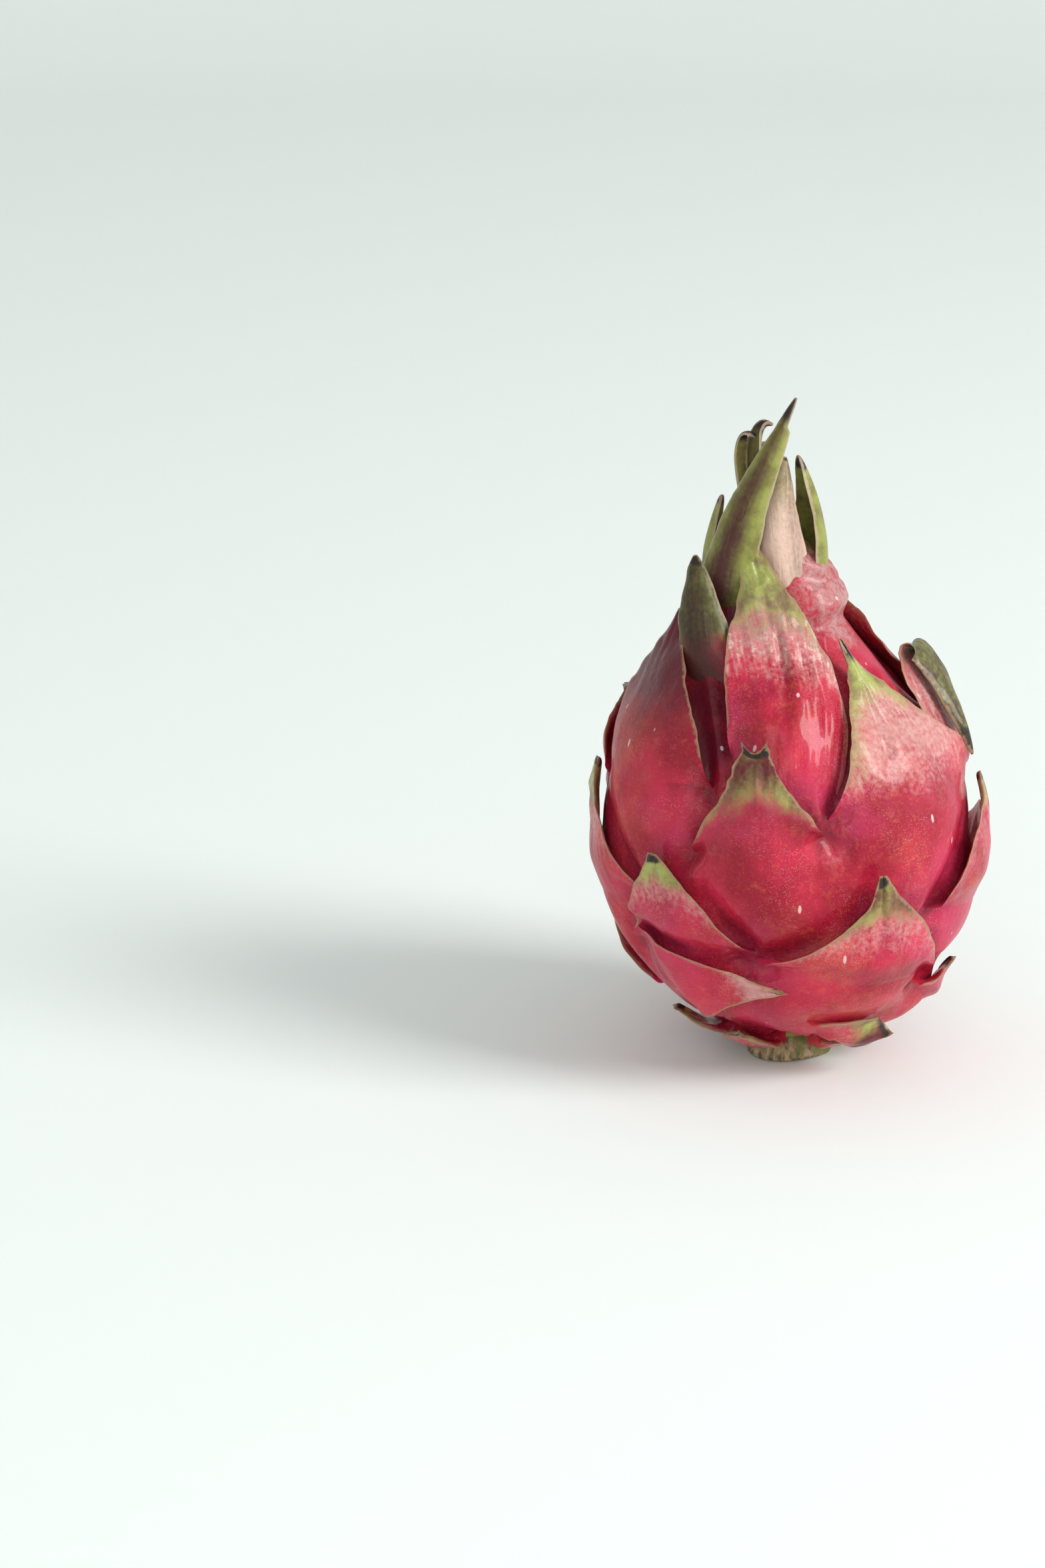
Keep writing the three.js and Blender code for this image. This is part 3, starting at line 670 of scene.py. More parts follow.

# %% [markdown]
# ## Colour along a scale
#
# A scale is red at its root and turns pink, green and at last dark and dry towards its
# tip. The change comes earlier along the edges than in the middle, so the limits of each
# colour are stated as values of s on the middle line:
#
# - *green* is where it begins and is full, and *pale* the same with its most after them;
# - *rim* is how much earlier both come at the edge, and *streaks* how much they run;
# - *dark* is the length of the dead tip in millimetres;
# - *flush* is how purple the green part is, *painted_shade* how far the whole scale is painted
#   dark red as shade, and *dusk* a dark red band: its middle, its breadth and its most;
# - *margin* is green down one edge, -1 for the left one, and how much.

# %% How each scale is coloured
LOOK = {"green": [0.62, 1], "pale": [0.3, 0.75, 0.5], "rim": 0.22, "streaks": 0.4, "dark": 3,
        "flush": 0.25, "painted_shade": 0, "dusk": [0, 1, 0], "margin": [0, 0]}
LOOKS = {
    # bract_right_high: its paleness is painted light, which lightens its shaded inner face to a lit
    # red
    "bract_right_high": {"green": [1.3, 1.6], "pale": [-0.3, 0, 0.25], "dark": 1, "flush": 0},
    "bract_front_left": {"green": [0.27, 1.0], "pale": [0.2, 0.6, 0.15], "rim": 0.42,
                         "dark": 5, "flush": 0.5, "dusk": [0.45, 0.25, 0.35]},
    "bract_front_right": {"green": [0.47, 0.98], "pale": [-0.3, 0.45, 0.7], "rim": 0.3,
                          "dark": 10, "flush": 0.2, "margin": [-1, 0.5]},
    "bract_front_low": {"green": [0.45, 1.0], "pale": [0.1, 0.65, 0.5], "rim": 0.2, "flush": 0.5},
    "bract_front_high": {"green": [0.5, 0.86], "pale": [0.3, 0.62, 0.75], "rim": 0.12,
                         "streaks": 1, "dark": 1, "flush": 0.2, "dusk": [0.64, 0.08, 0.3]},
    "bract_right_low": {"green": [0.75, 1.1], "pale": [0.1, 0.8, 0.35], "rim": 0.2,
                        "dark": 2.5, "flush": 0.2},
    "bract_right_foot": {"green": [0.95, 1.3], "pale": [0.2, 0.9, 0.3], "rim": 0.1,
                         "dark": 5, "flush": 0.5},
    "bract_left_foot": {"green": [0.75, 1.4], "pale": [0.55, 0.85, 0.9], "rim": 0.05,
                        "dark": 0.8, "flush": 0.3},
    # bract_left is painted dark red all over as shade: the shade that falls on the fruit's left flank
    "bract_left": {"green": [1.2, 1.5], "pale": [1, 2, 0], "rim": 0.1, "painted_shade": 1},
    "base_right": {"green": [0.3, 0.7], "pale": [0.1, 0.4, 0.3], "rim": 0.1,
                   "dark": 2.5, "flush": 0.7},
}
EDGE_FADE = 4  # millimetres from the edge over which the rim's share dies out
MARGIN_FROM = 0.55  # a green margin reaches in to here, in v ...
MARGIN_ROOT = [0.08, 0.25]  # ... and sets in between these s
PALE_ROOT = [0, 0.28]  # paleness sets in between these s,
PAINTED_SHADE_ROOT = [0, 0.7]  # and the painted shade between these
EDGE_SHOWS = [0.03, 0.15]  # the edge comes out of the skin between these s
DEAD_RAGGED = 12  # how far the dead tip's border strays, in millimetres for a wander of 1


def leaf_marks(name, s, v, length, half, points, crevice):
    """How green, pale, flushed and dry a scale is, from s moved up by rim * exp(-e / 4)
    at e millimetres from the edge and by a little noise. The crevice under the edge of a
    scale that lies over this one has painted shade in maroon, and the dry line of the edge dies out
    where the edge sinks into the skin."""
    look = {**LOOK, **LOOKS.get(name, {})}
    edge = (1 - np.abs(v)) * half
    wander = layered(points, (0.05, 4, 21), (0.04, 1.8, 22))
    level = s + look["rim"] * np.exp(-edge / EDGE_FADE) + wander
    green = ease(*look["green"], level)
    side, most_green = look["margin"]
    margin = most_green * ease(MARGIN_FROM, 1, side * v) * ease(*MARGIN_ROOT, s)
    green = np.maximum(green, margin)
    start, full, most = look["pale"]
    pale = most * ease(start, full, level) * ease(*PALE_ROOT, s)
    middle, breadth, most = look["dusk"]
    dark_red_and_shade = most * bell((level - middle) / breadth)
    dark_red_and_shade = np.maximum(look["painted_shade"] * ease(*PAINTED_SHADE_ROOT, s), dark_red_and_shade)
    dark_red_and_shade = np.maximum(dark_red_and_shade, painted_crevice_shade(crevice))
    marks = {
        "greenness": green,
        "paleness": pale,
        # the flush takes the larger of the purple flush, the dusk band and the painted shade
        "flush": np.maximum(look["flush"] * green * (1 + lumps(points, 7, 23)), dark_red_and_shade),
        "dryness": 1 - ease(0.35, 1, ((1 - s) * length + DEAD_RAGGED * wander) / look["dark"]),
        "edge": np.minimum(edge, (1 - s) * length) + 4 * (1 - ease(*EDGE_SHOWS, s)),
        "streakiness": 0 * s + look["streaks"],
    }
    return {mark: (values, values) for mark, values in marks.items()}


print(len(LOOKS), "scales have a look of their own")

# %% [markdown]
# ## Creases and wavering edges
#
# The front scales are creased. *FOLDS* lists single creases and ridges, each as a
# straight line on the scale spread out flat, from one [v, s] to another, with half its
# breadth and its height in millimetres. A negative height is a crease. On top of them
# every scale has fine lengthwise wrinkles, which are noise stretched along the leaf.

# %% Creases of a scale
WRINKLE = [0.15, 0.12]  # height of the long and of the short wrinkles ...
WRINKLES = {"bract_front_high": [0.3, 0.5], "bract_front_right": [0.25, 0.25]}  # ... where deeper
FOLDS = {
    "bract_front_high": [[[0.13, 0.62], [-0.03, 0.26], 0.8, -1.1],
                         [[-1, 0.34], [-0.1, 0.43], 0.6, -0.6],
                         [[-0.7, 0.74], [0.5, 0.84], 0.9, 0.8],
                         [[0.45, 0.5], [0.4, 0.2], 0.9, -0.7]],
    "bract_front_left": [[[0, 0.85], [0.05, 0.4], 0.7, 0.5], [[0.5, 0.5], [0.55, 0.1], 1.2, -0.5]],
    "bract_front_right": [[[-0.3, 0.7], [-0.5, 0.2], 1.2, -0.7],
                          [[0.3, 0.6], [0.35, 0.1], 1.5, -0.6]],
    "bract_front_low": [[[0, 0.9], [0.1, 0.3], 1.0, -0.6], [[-0.6, 0.6], [-0.5, 0.1], 1.2, -0.5]],
}
SHORTEST = 12  # a scale counts as at least this long, in millimetres
GROOVE_DEPTH = 0.4  # of the groove down the middle ...
GROOVE_HALF = 0.16  # ... and half its breadth, in v
LONG_WRINKLE = (2.2, 14, 1)  # size of its lumps across the leaf and along it
SHORT_WRINKLE = (1.1, 5, 1)


def scale_half(scale, s):
    """Half the breadth of a scale in millimetres at each s."""
    ends = [skin_point(*scale_place(scale, s, side), 0) for side in (-1.0, 1.0)]
    return np.linalg.norm(ends[1] - ends[0], axis=-1) / 2


def scale_length(scale):
    """How far a scale reaches along the skin, in millimetres."""
    return max(abs(scale["tip"][1] - scale["left"][1]), SHORTEST)


def folds(scale, s, v):
    """The sum of its folds: a bell of the distance to each one's straight line, taken
    with the scale spread out flat at its length and mean breadth."""
    size = np.array([scale_half(scale, s).mean(), scale_length(scale)])
    flat = np.stack([v, s], -1) * size
    total = 0
    for start, end, breadth, height in FOLDS.get(scale["name"], []):
        first = np.array(start) * size
        run = np.array(end) * size - first
        share = np.clip((flat - first) @ run / (run @ run), 0, 1)
        distance = np.linalg.norm(flat - first - share[..., None] * run, axis=-1)
        total = total + height * bell(distance / breadth) * np.sin(pi * share) ** 0.5
    return total


def own_relief(scale, s, v, points):
    """Small shapes of a scale's own: soft lumps, a wavy edge, a groove down its middle,
    lengthwise wrinkles and the folds that are listed for it."""
    seed = seed_of(scale, 31)
    soft = layered(points, (0.22, 6, seed), (0.1, 3, seed + 1))
    soft = soft + scale["wavy"] * v**4 * lumps(points, 5, seed + 2)
    soft = soft - GROOVE_DEPTH * bell(v / GROOVE_HALF) * ease(0.3, 0.9, s)
    flat = np.stack([v * scale_half(scale, s), s * scale_length(scale), 0 * s], -1)
    long, short = WRINKLES.get(scale["name"], WRINKLE)
    creases = long * lumps(flat, LONG_WRINKLE, seed + 3) + folds(scale, s, v)
    creases = creases + short * lumps(flat, SHORT_WRINKLE, seed + 4) * ease(-0.8, 0.6, v)
    return soft * ease(0.1, 0.5, s) + creases * ease(0, 0.2, s)


print(sum(map(len, FOLDS.values())), "folds on", len(FOLDS), "scales")

# %% A margin that wavers
EDGE_WAVER = 0.45  # how far a margin strays from its smooth curve, in millimetres
NARROWEST = 3  # a leaf counts as at least this broad to each side, in millimetres


def waver(s, v, length, half, seed):
    """v with both margins moved in and out a little: lumps 4 and 1.5 mm long."""
    along = np.stack([s * length, np.sign(v) * 9.0 + 0 * s, 0 * s], -1)
    stray = layered(along, (1, 4, seed), (0.5, 1.5, seed + 1))
    stray = EDGE_WAVER * v**3 * stray * ease(0, 0.2, s) * ease(1, 0.9, s)
    return v + stray / np.maximum(half, NARROWEST)


print("margins waver by about", EDGE_WAVER, "mm")

# %% [markdown]
# ## Scales that grow out of the skin
#
# The margins of a scale are curves on the skin. Its root follows the swollen skin
# exactly and starts a little below it, so that no seam shows where it comes out. Further
# up it leaves the skin: its cushion dies out, its tip lifts off, and its free edges
# stand clear of the skin below, which leaves the dark crevice that a real bract has.

# %% The heights of a scale
BED = 0.5  # clearance of a scale's inner face over the skin
EDGE_ROOT = 0.6  # how high its edge stands over that near the root ...
EDGE_FREE = 2.3  # ... and further up
EDGE_DROP = 0.8  # share of the cushion's height lost at its edges
CUSHION_FADE = 0.8  # power by which the cushion dies out towards the tip
RISE = 1.2  # steady rise off the skin from root to tip
THICK_ROOT = 2.6
THICK_TIP = 1.0
THIN_EDGE = 0.4  # thickness at the edges, as a share of that in the middle
FREE_MIDDLE = 0.3  # its middle is free of the skin this far up,
FREE_EDGE = 0.07  # and its edges are by here
DIVE = 0.35  # the root starts this far under the skin ...
OUT_BY = 0.1  # ... and is out of it this far up


def scale_heights(scale, s, v, even_v):
    """Outer and inner height above the smooth skin. The outer face is the skin plus a
    rise that starts at zero and grows to the larger of the scale's own height and its
    edge's clearance. Valleys cut into it: all of them at its root, and further up only
    those under the scales that lie over it. The inner face lies a thickness below it.
    even_v is v before its margins wavered, for the rim."""
    turn, way = scale_place(scale, s, v)
    skin = swelling(turn, way)
    own = scale["swell"] * (1 - EDGE_DROP * v**2) * (1 - s) ** CUSHION_FADE
    own = own + scale["lift"] * s ** scale["curve"] + RISE * s
    own = own + scale["hang"] * ease(-1, 1, v) * ease(0, 0.5, s)
    edge = BED + lerp(EDGE_ROOT, EDGE_FREE, ease(0, 0.4, s)) * scale["open"]
    start = ease(0, lerp(FREE_MIDDLE, FREE_EDGE, np.minimum(v**4, 1)), s)
    rise = np.maximum(own - skin, edge) * start
    under = DIVE * (1 - ease(0, OUT_BY, s))
    under = under + lerp(valleys(turn, way), valleys(turn, way, scale), start)
    points = skin_point(turn, way, 0)
    outer = skin + relief(turn, way) + rise - under + own_relief(scale, s, v, points)
    thick = lerp(THICK_ROOT, THICK_TIP, s) * lerp(1, THIN_EDGE, v**2) * rim(s, even_v)
    return turn, way, outer, outer - thick


def make_scale(scale):
    """A scale as one closed leaf."""
    s, v = leaf_parameters(*SCALE_GRID)
    length = scale_length(scale)
    half = scale_half(scale, s)
    wavering = waver(s, v, length, half, seed_of(scale, 81))
    turn, way, *heights = scale_heights(scale, s, wavering, v)
    faces = [skin_point(turn, way, height) for height in heights]
    crevice = valleys(turn, way, scale)
    marks = leaf_marks(scale["name"], s, v, length, half, stand(faces[0]), crevice)
    make_leaf(scale["name"], s, v, length, half, faces, marks)


for scale in SCALES:
    make_scale(scale)
print("made", len(SCALES), "scales of", len(pieces["fine_base_back"].data.vertices), "points")

# %% [markdown]
# ## Blades of the crown
#
# The bracts of the crown are longer than broad and stand free. Each follows a Bezier
# arc of four points in the upright fruit's axes, or two arcs that share a point:
#
# - *facing* is the turn that its outer side looks towards at the root and at the tip;
# - *half* is half its widest breadth in millimetres, *root* its breadth at the root as a
#   share of that, *taper* how blunt its tip is, and *thick* its thickness at the root;
# - *cup* is how far its edges wrap round at the root and at the tip, in degrees either
#   side of the middle, and *ribs* the height of its lengthwise ribs;
# - *torn* says where the right edge of its tip has torn away, and by how much.
#
# The bract that is bent back on itself and the withered tips are built the same way.

# %% The blades
PLAIN_BLADE = {"root": 1, "taper": 2, "thick": 1.6, "ribs": 0.1, "torn": [1, 0]}


def blade_of(name, line, **shape):
    """A blade as a dictionary: its line, and PLAIN_BLADE where shape is silent."""
    return {"name": name, "line": line, **PLAIN_BLADE, **shape}


BLADES = [
    blade_of("crown_left", [[-18, -19.5, 85], [-22.5, -21, 97], [-23, -16.5, 108], [-22.9, -11, 118]],
             facing=[-118, -112], half=7.8, root=0.9, cup=[40, 55], thick=1.5),
    blade_of("crown_long", [[-17, -6, 97], [-19, -16, 116], [-10.5, -19, 135], [-1, -9.5, 152.6]],
             facing=[-118, -98], half=7.2, root=1.15, taper=1.5, cup=[45, 62], thick=1.7,
             torn=[0.885, 0.55]),
    blade_of("crown_right", [[3, -1, 100], [9.2, -2, 114], [5.3, -2, 128], [0, -4, 139]],
             facing=[14, 24], half=8.4, root=0.8, taper=2.2, cup=[70, 72]),
    blade_of("crown_front", [[-1, -9.5, 101], [-2, -14.5, 114], [-4, -11, 128], [-3, -6, 139]],
             facing=[-80, -72], half=7.6, root=1.2, taper=1.6, cup=[55, 65], ribs=0.4),
    blade_of("crown_back_left", [[-18, 4, 98], [-22, 6, 110], [-19, 6, 120], [-16.3, 5, 128.5]],
             facing=[165, 160], half=6, root=0.9, cup=[45, 60]),
    blade_of("crown_back", [[-5, 9, 100], [-4, 15, 112], [-6, 14, 126], [-7, 8, 140]],
             facing=[80, 92], half=7, root=0.9, taper=1.8, cup=[50, 62]),
    blade_of("bract_bent_back", [[36.5, -8, 67], [36.5, -6, 79], [27, -4, 89], [26, -3, 95],
                                 [26.6, -2.5, 98], [34, -4, 91.5], [40, -8.5, 72]],
             facing=[-30, -38], half=6.5, taper=3, cup=[25, -35], thick=1.5),
    blade_of("withered_tip_left", [[-9, 3, 120], [-14.5, 1, 134], [-14.5, 0, 147], [-9, 0, 142.5]],
             facing=[150, 120], half=1.8, taper=3, cup=[50, 70], thick=1.1),
    blade_of("withered_tip_right", [[-6, 4, 120], [-10, 3, 134], [-10, 0, 147], [-5.5, 0, 145]],
             facing=[60, 20], half=2.6, taper=3, cup=[50, 70], thick=1.1),
]
print(len(BLADES), "blades")


# %% The frame of a blade
def centreline(line, s):
    """The point at s, where the arcs of the line share s evenly."""
    arcs = [line[i:i + 4] for i in range(0, len(line) - 1, 3)]
    point = bezier(arcs[0], s * len(arcs))
    for i, arc in enumerate(arcs[1:], 1):
        point = np.where((s * len(arcs) > i)[..., None], bezier(arc, s * len(arcs) - i), point)
    return point


def blade_axes(blade, s):
    """The centre of a blade, and the directions across it and out of it, at each s."""
    centre = centreline(blade["line"], s)
    step = 1e-4
    tangent = centreline(blade["line"], s + step) - centreline(blade["line"], s - step)
    tangent /= np.linalg.norm(tangent, axis=-1, keepdims=True)
    facing = np.radians(lerp(*blade["facing"], s))
    sideways = np.stack([-np.sin(facing), np.cos(facing), 0 * facing], -1)
    across = sideways - np.sum(sideways * tangent, -1, keepdims=True) * tangent
    across /= np.linalg.norm(across, axis=-1, keepdims=True)
    return centre, across, np.cross(across, tangent)


# %% How the blades are coloured
BLADE_LOOK = {"green": [-0.2, 0.3], "pale": 0.3, "flush": [0, 0.5, 0.5, 0.3], "inner": 0.5,
              "dark": 4, "dull": 0}
BLADE_LOOKS = {
    "crown_long": {"green": [-0.5, -0.1], "flush": [-0.15, 0.62, 1.05, 0.45], "dark": 9},
    "crown_left": {"green": [0.28, 0.62], "pale": 0.1, "flush": [-0.1, 0.9, 1.2, 0.65],
                   "dark": 5, "dull": 0.58},
    "crown_right": {"green": [-0.2, 0.1], "flush": [0.1, 0.4, 0.2, 0], "inner": 0.35},
    "crown_front": {"green": [0.4, 1.25], "pale": 1, "flush": [0.4, 0.6, 0.5, 0], "dark": 0.3},
    "bract_bent_back": {"green": [0.42, 0.6], "pale": 0.6, "flush": [0, 1.2, 0.3, 0],
                        "inner": 0.4, "dark": 6, "dull": 0.58},
    "withered_tip_left": {"flush": [0, 2, 0.3, 0], "dark": 18},
    "withered_tip_right": {"flush": [0, 2, 0.3, 0], "dark": 14},
}
INNER_PALE = 0.4  # paleness of the inner face, as a share of the outer one's


def blade_marks(name, s, v, length, half, points):
    """Values for both faces. *green* is where green begins and is full, *pale* how pale
    the rest is, *dark* the length of the dead tip, and *dull* how withered the upper part
    is. The purple *flush* is a stripe: its middle and half breadth in v, how strong it
    is, and how much of it is lost towards the tip. *inner* is the inner face's flush."""
    look = {**BLADE_LOOK, **BLADE_LOOKS.get(name, {})}
    wander = layered(points, (0.07, 5, 25), (0.04, 2, 26))
    middle, breadth, most, lost = look["flush"]
    stripe = most * bell((v - middle + 0.6 * wander) / breadth)
    stripe = stripe * (1 - lost * s) * ease(-0.2, 0.1, s)
    edge = np.minimum((1 - np.abs(v)) * half, (1 - s) * length) + 3 * (1 - ease(0.02, 0.1, s))
    green = ease(*look["green"], s + wander)
    pale = (look["pale"] + 0.4 * wander) * ease(0, 0.25, s)
    dry = 1 - ease(0.3, 1, ((1 - s) * length + 20 * wander) / look["dark"])
    dry = np.maximum(dry, look["dull"] * ease(0.15, 0.55, s))
    return {
        "greenness": (green, green),
        "paleness": (pale, INNER_PALE * pale),
        "flush": (stripe, 0 * s + look["inner"]),
        "dryness": (dry, dry),
        "edge": (edge, edge),
        "streakiness": (0 * s + 1, 0 * s + 1),
    }


print(len(BLADE_LOOKS), "blades have a look of their own")

# %% Make the blades
BLADE_GRID = (96, 44)  # rows and columns
FULL_BY = 0.4  # a blade reaches its full breadth this far up
TAPER_FINISH = 0.8  # power by which its breadth closes at the tip
TIP_HALF = 0.5  # half the breadth left at the very tip, in millimetres
TIP_THIN = 0.6  # thickness at the tip, as a share of that at the root
EDGE_THIN = 0.5  # thickness at the edges, as a share of that in the middle
TEAR = 0.012  # a torn edge steps inwards over this share of the length
NEARLY_FLAT = 0.02  # radians: the least cup that an arc can be worked out for
WAVES = [0.2, 5]  # height and size of the waves all over, in millimetres ...
EDGE_WAVES = [0.35, 4]  # ... and of those along the edges
RIB_SIZE = (1.8, 25, 1)  # of the ribs' lumps across the leaf and along it


def blade_half(blade, s):
    """Half a blade's breadth: it fills out to FULL_BY and closes as 1 - s^taper."""
    fill = lerp(blade["root"], 1, ease(0, FULL_BY, s))
    return blade["half"] * fill * np.maximum(1 - s ** blade["taper"], 0) ** TAPER_FINISH + TIP_HALF


def make_blade(blade):
    """A blade as one closed leaf: its cross-section is an arc of `cup` degrees either
    side, whose length is the breadth, thickest in the middle."""
    s, v = leaf_parameters(*BLADE_GRID)
    centre, across, outward = blade_axes(blade, s)
    half = blade_half(blade, s)
    length = np.linalg.norm(np.diff(np.asarray(blade["line"], float), axis=0), axis=1).sum()
    cup = np.radians(lerp(*blade["cup"], s))
    cup = np.where(np.abs(cup) < NEARLY_FLAT, NEARLY_FLAT, cup)
    bow = half / cup
    thick = blade["thick"] * lerp(1, TIP_THIN, s) * lerp(1, EDGE_THIN, v**2) * rim(s, v)
    seed = seed_of(blade, 61)
    flat = centre + across * (v * half)[..., None]
    rise = bow * (np.cos(v * cup) - 1) + layered(flat, (*WAVES, seed)) * ease(0, 0.3, s)
    rise = rise + v**4 * layered(flat, (*EDGE_WAVES, seed + 1))
    spread = np.stack([v * half, s * length, 0 * s], -1)
    rise = rise + blade["ribs"] * lumps(spread, RIB_SIZE, seed + 3) * ease(1, 0.8, s)
    edge = waver(s, v, length, half, seed + 2)
    torn_at, torn_off = blade["torn"]
    edge = np.where(v > 0, edge * (1 - torn_off * ease(torn_at, torn_at + TEAR, s)), edge)
    middle = centre + across * (bow * np.sin(edge * cup))[..., None]
    faces = [middle + outward * (rise + side * thick / 2)[..., None] for side in (1, -1)]
    marks = blade_marks(blade["name"], s, v, length, half, stand(faces[0]))
    make_leaf(blade["name"], s, v, length, half, faces, marks)


for blade in BLADES:
    make_blade(blade)
print("made", len(BLADES), "blades of", len(pieces["fine_crown_long"].data.vertices), "points")

# %% [markdown]
# ## Stem stub and dried flower
#
# The stub is what the knife left of the stem: a short woody plug with three blunt ribs,
# as a cactus stem has. The flower dried on the fruit's top and shows only between the
# blades. Both are rings of points, roughened by noise, with flat ends.

# %% Columns
COLUMN_AROUND = 120
COLUMN_ALONG = 40
FOOT_DRAW = 0.4  # the very bottom is drawn in by this, in millimetres
COLUMNS = [
    {"name": "stem_stub", "place": [0, 0], "ribs": 0.06, "rough": 0.9,
     "rows": [[0, STUB_RADIUS], [0.6 * STUB_HEIGHT, 0.95 * STUB_RADIUS],
              [STUB_HEIGHT + 2, 0.8 * STUB_RADIUS]]},
    {"name": "withered_flower", "place": [-10.3, 0], "ribs": 0.12, "rough": 0.5,
     "rows": [[116, 6.5], [123, 5.6], [128, 3.5]]},
]
COLUMN_MARKS = {"greenness": 0.3, "paleness": 0, "flush": 0, "dryness": 0.6,
                "edge": FAR_FROM_EDGES, "streakiness": 1}


def make_column(column):
    """Rings of radius r (1 + ribs cos 3a) plus lumps, which fade at the flat bottom. The
    rows give height and radius."""
    heights, radii = np.asarray(column["rows"], float).T
    x, y = column["place"]
    z = np.linspace(heights[0], heights[-1], COLUMN_ALONG)[:, None]
    a = np.linspace(0, 2 * pi, COLUMN_AROUND, endpoint=False)[None, :]

    def ring_points(r):
        return np.stack(np.broadcast_arrays(x + r * np.cos(a), y + r * np.sin(a), z), -1)

    r = np.interp(z, heights, radii) * (1 + column["ribs"] * np.cos(3 * a))
    rough = layered(ring_points(r), (1, (2.5, 2.5, 6), 41), (0.5, (1.2, 1.2, 3), 42))
    up = z - heights[0]
    r = r + column["rough"] * rough * ease(0, 1.5, up) - FOOT_DRAW * ease(1, 0, up)
    ends = [np.array([x, y, end], float) for end in (heights[0], heights[-1])]
    grain = np.stack(np.broadcast_arrays(a * radii[0] * CM, z * CM), -1)
    make_piece(
        "fine_" + column["name"],
        stand(closed_rings(ring_points(r), *ends)),
        ring_faces(COLUMN_ALONG, COLUMN_AROUND),
        COLUMN_MARKS,
        closed_rings(grain, grain[0, 0], grain[-1, 0]),
    )


for column in COLUMNS:
    make_column(column)
print("made", len(pieces), "pieces in all")

# %% [markdown]
# ## Building materials from nodes
#
# Small helpers keep the node code readable. *feed* links a socket or sets its value,
# and *use* adds a node and fills its inputs by name. *patches* is the one that is used
# most: soft patches of noise, 0 outside and 1 inside.


# %% Node helpers
def feed(tree, socket, value):
    """Links a socket to another node's output, or sets it to a plain value."""
    if isinstance(value, bpy.types.NodeSocket):
        tree.links.new(value, socket)
    else:
        socket.default_value = value


def use(tree, kind, **inputs):
    """Adds a node and fills the inputs that are named, with _ for a space."""
    node = tree.nodes.new("ShaderNode" + kind)
    for name, value in inputs.items():
        feed(tree, node.inputs[name.replace("_", " ")], value)
    return node


def maths(tree, operation, a, b=0.0):
    """One step of arithmetic."""
    node = tree.nodes.new("ShaderNodeMath")
    node.operation = operation
    feed(tree, node.inputs[0], a)
    feed(tree, node.inputs[1], b)
    return node.outputs[0]


def plus(tree, a, b):
    """The sum of two values."""
    return maths(tree, "ADD", a, b)


def times(tree, a, b):
    """The product of two values."""
    return maths(tree, "MULTIPLY", a, b)


def eased(tree, value, low, high):
    """0 at low and 1 at high, with soft ends."""
    node = use(tree, "MapRange", Value=value, From_Min=low, From_Max=high)
    node.interpolation_type = "SMOOTHSTEP"
    return node.outputs["Result"]


def mixed(tree, factor, first, second):
    """From the first colour to the second as factor goes from 0 to 1."""
    node = tree.nodes.new("ShaderNodeMix")
    node.data_type = "RGBA"
    feed(tree, node.inputs[0], factor)
    feed(tree, node.inputs[6], first)
    feed(tree, node.inputs[7], second)
    return node.outputs[2]


def noise(tree, where, scale, detail, rough):
    """A soft noise about 0.5, with scale lumps to a metre."""
    node = use(tree, "TexNoise", Vector=where, Scale=scale, Detail=detail, Roughness=rough)
    return node.outputs[0]


def patches(tree, where, scale, detail, rough, low, high):
    """Noise eased from 0 at low to 1 at high."""
    return eased(tree, noise(tree, where, scale, detail, rough), low, high)


def dots(tree, where, scale, rim_at, full_at, above):
    """A round dot in each cell of a Voronoi pattern whose random number is above a
    limit: 0 at rim_at from the cell's middle and 1 within full_at."""
    cells = use(tree, "TexVoronoi", Vector=where, Scale=scale)
    chosen = use(tree, "SeparateColor", Color=cells.outputs["Color"]).outputs[0]
    dot = eased(tree, cells.outputs["Distance"], rim_at, full_at)
    return times(tree, dot, maths(tree, "GREATER_THAN", chosen, above))


def new_group(name, inputs, outputs):
    """An empty node group with named sockets, given as {name: kind}."""
    tree = bpy.data.node_groups.new(name, "ShaderNodeTree")
    for in_out, sockets in (("INPUT", inputs), ("OUTPUT", outputs)):
        for socket, kind in sockets.items():
            tree.interface.new_socket(socket, in_out=in_out, socket_type="NodeSocket" + kind)
    put_in = tree.nodes.new("NodeGroupInput").outputs
    return tree, put_in, tree.nodes.new("NodeGroupOutput").inputs


# %% [markdown]
# ## Pores
#
# The skin is full of small pale pores: fine ones in about half the cells of a Voronoi
# pattern and a few coarse ones. The group puts out a mask of them and a height for the
# bump, where each fine pore is a tiny dent in skin that is itself finely grained.

# %% The pores group
FINE_PORES = (2600.0, 0.42, 0.18, 0.45)  # cells to a metre, rim, full, chosen above
COARSE_PORES = (700.0, 0.16, 0.06, 0.95)
FINE_GRAIN = (900.0, 3.0, 0.6)  # lumps to a metre, detail, roughness
PORE_DENT = 0.35

pores, put_in, put_out = new_group(
    "pores", {"Where": "Vector"}, {"Mask": "Float", "Height": "Float"}
)
fine_pores = dots(pores, put_in["Where"], *FINE_PORES)
coarse_pores = dots(pores, put_in["Where"], *COARSE_PORES)
fine_grain = noise(pores, put_in["Where"], *FINE_GRAIN)
pitted = maths(pores, "SUBTRACT", fine_grain, times(pores, fine_pores, PORE_DENT))
feed(pores, put_out["Mask"], maths(pores, "MAXIMUM", fine_pores, coarse_pores))
feed(pores, put_out["Height"], pitted)
print("pores group:", len(pores.nodes), "nodes")
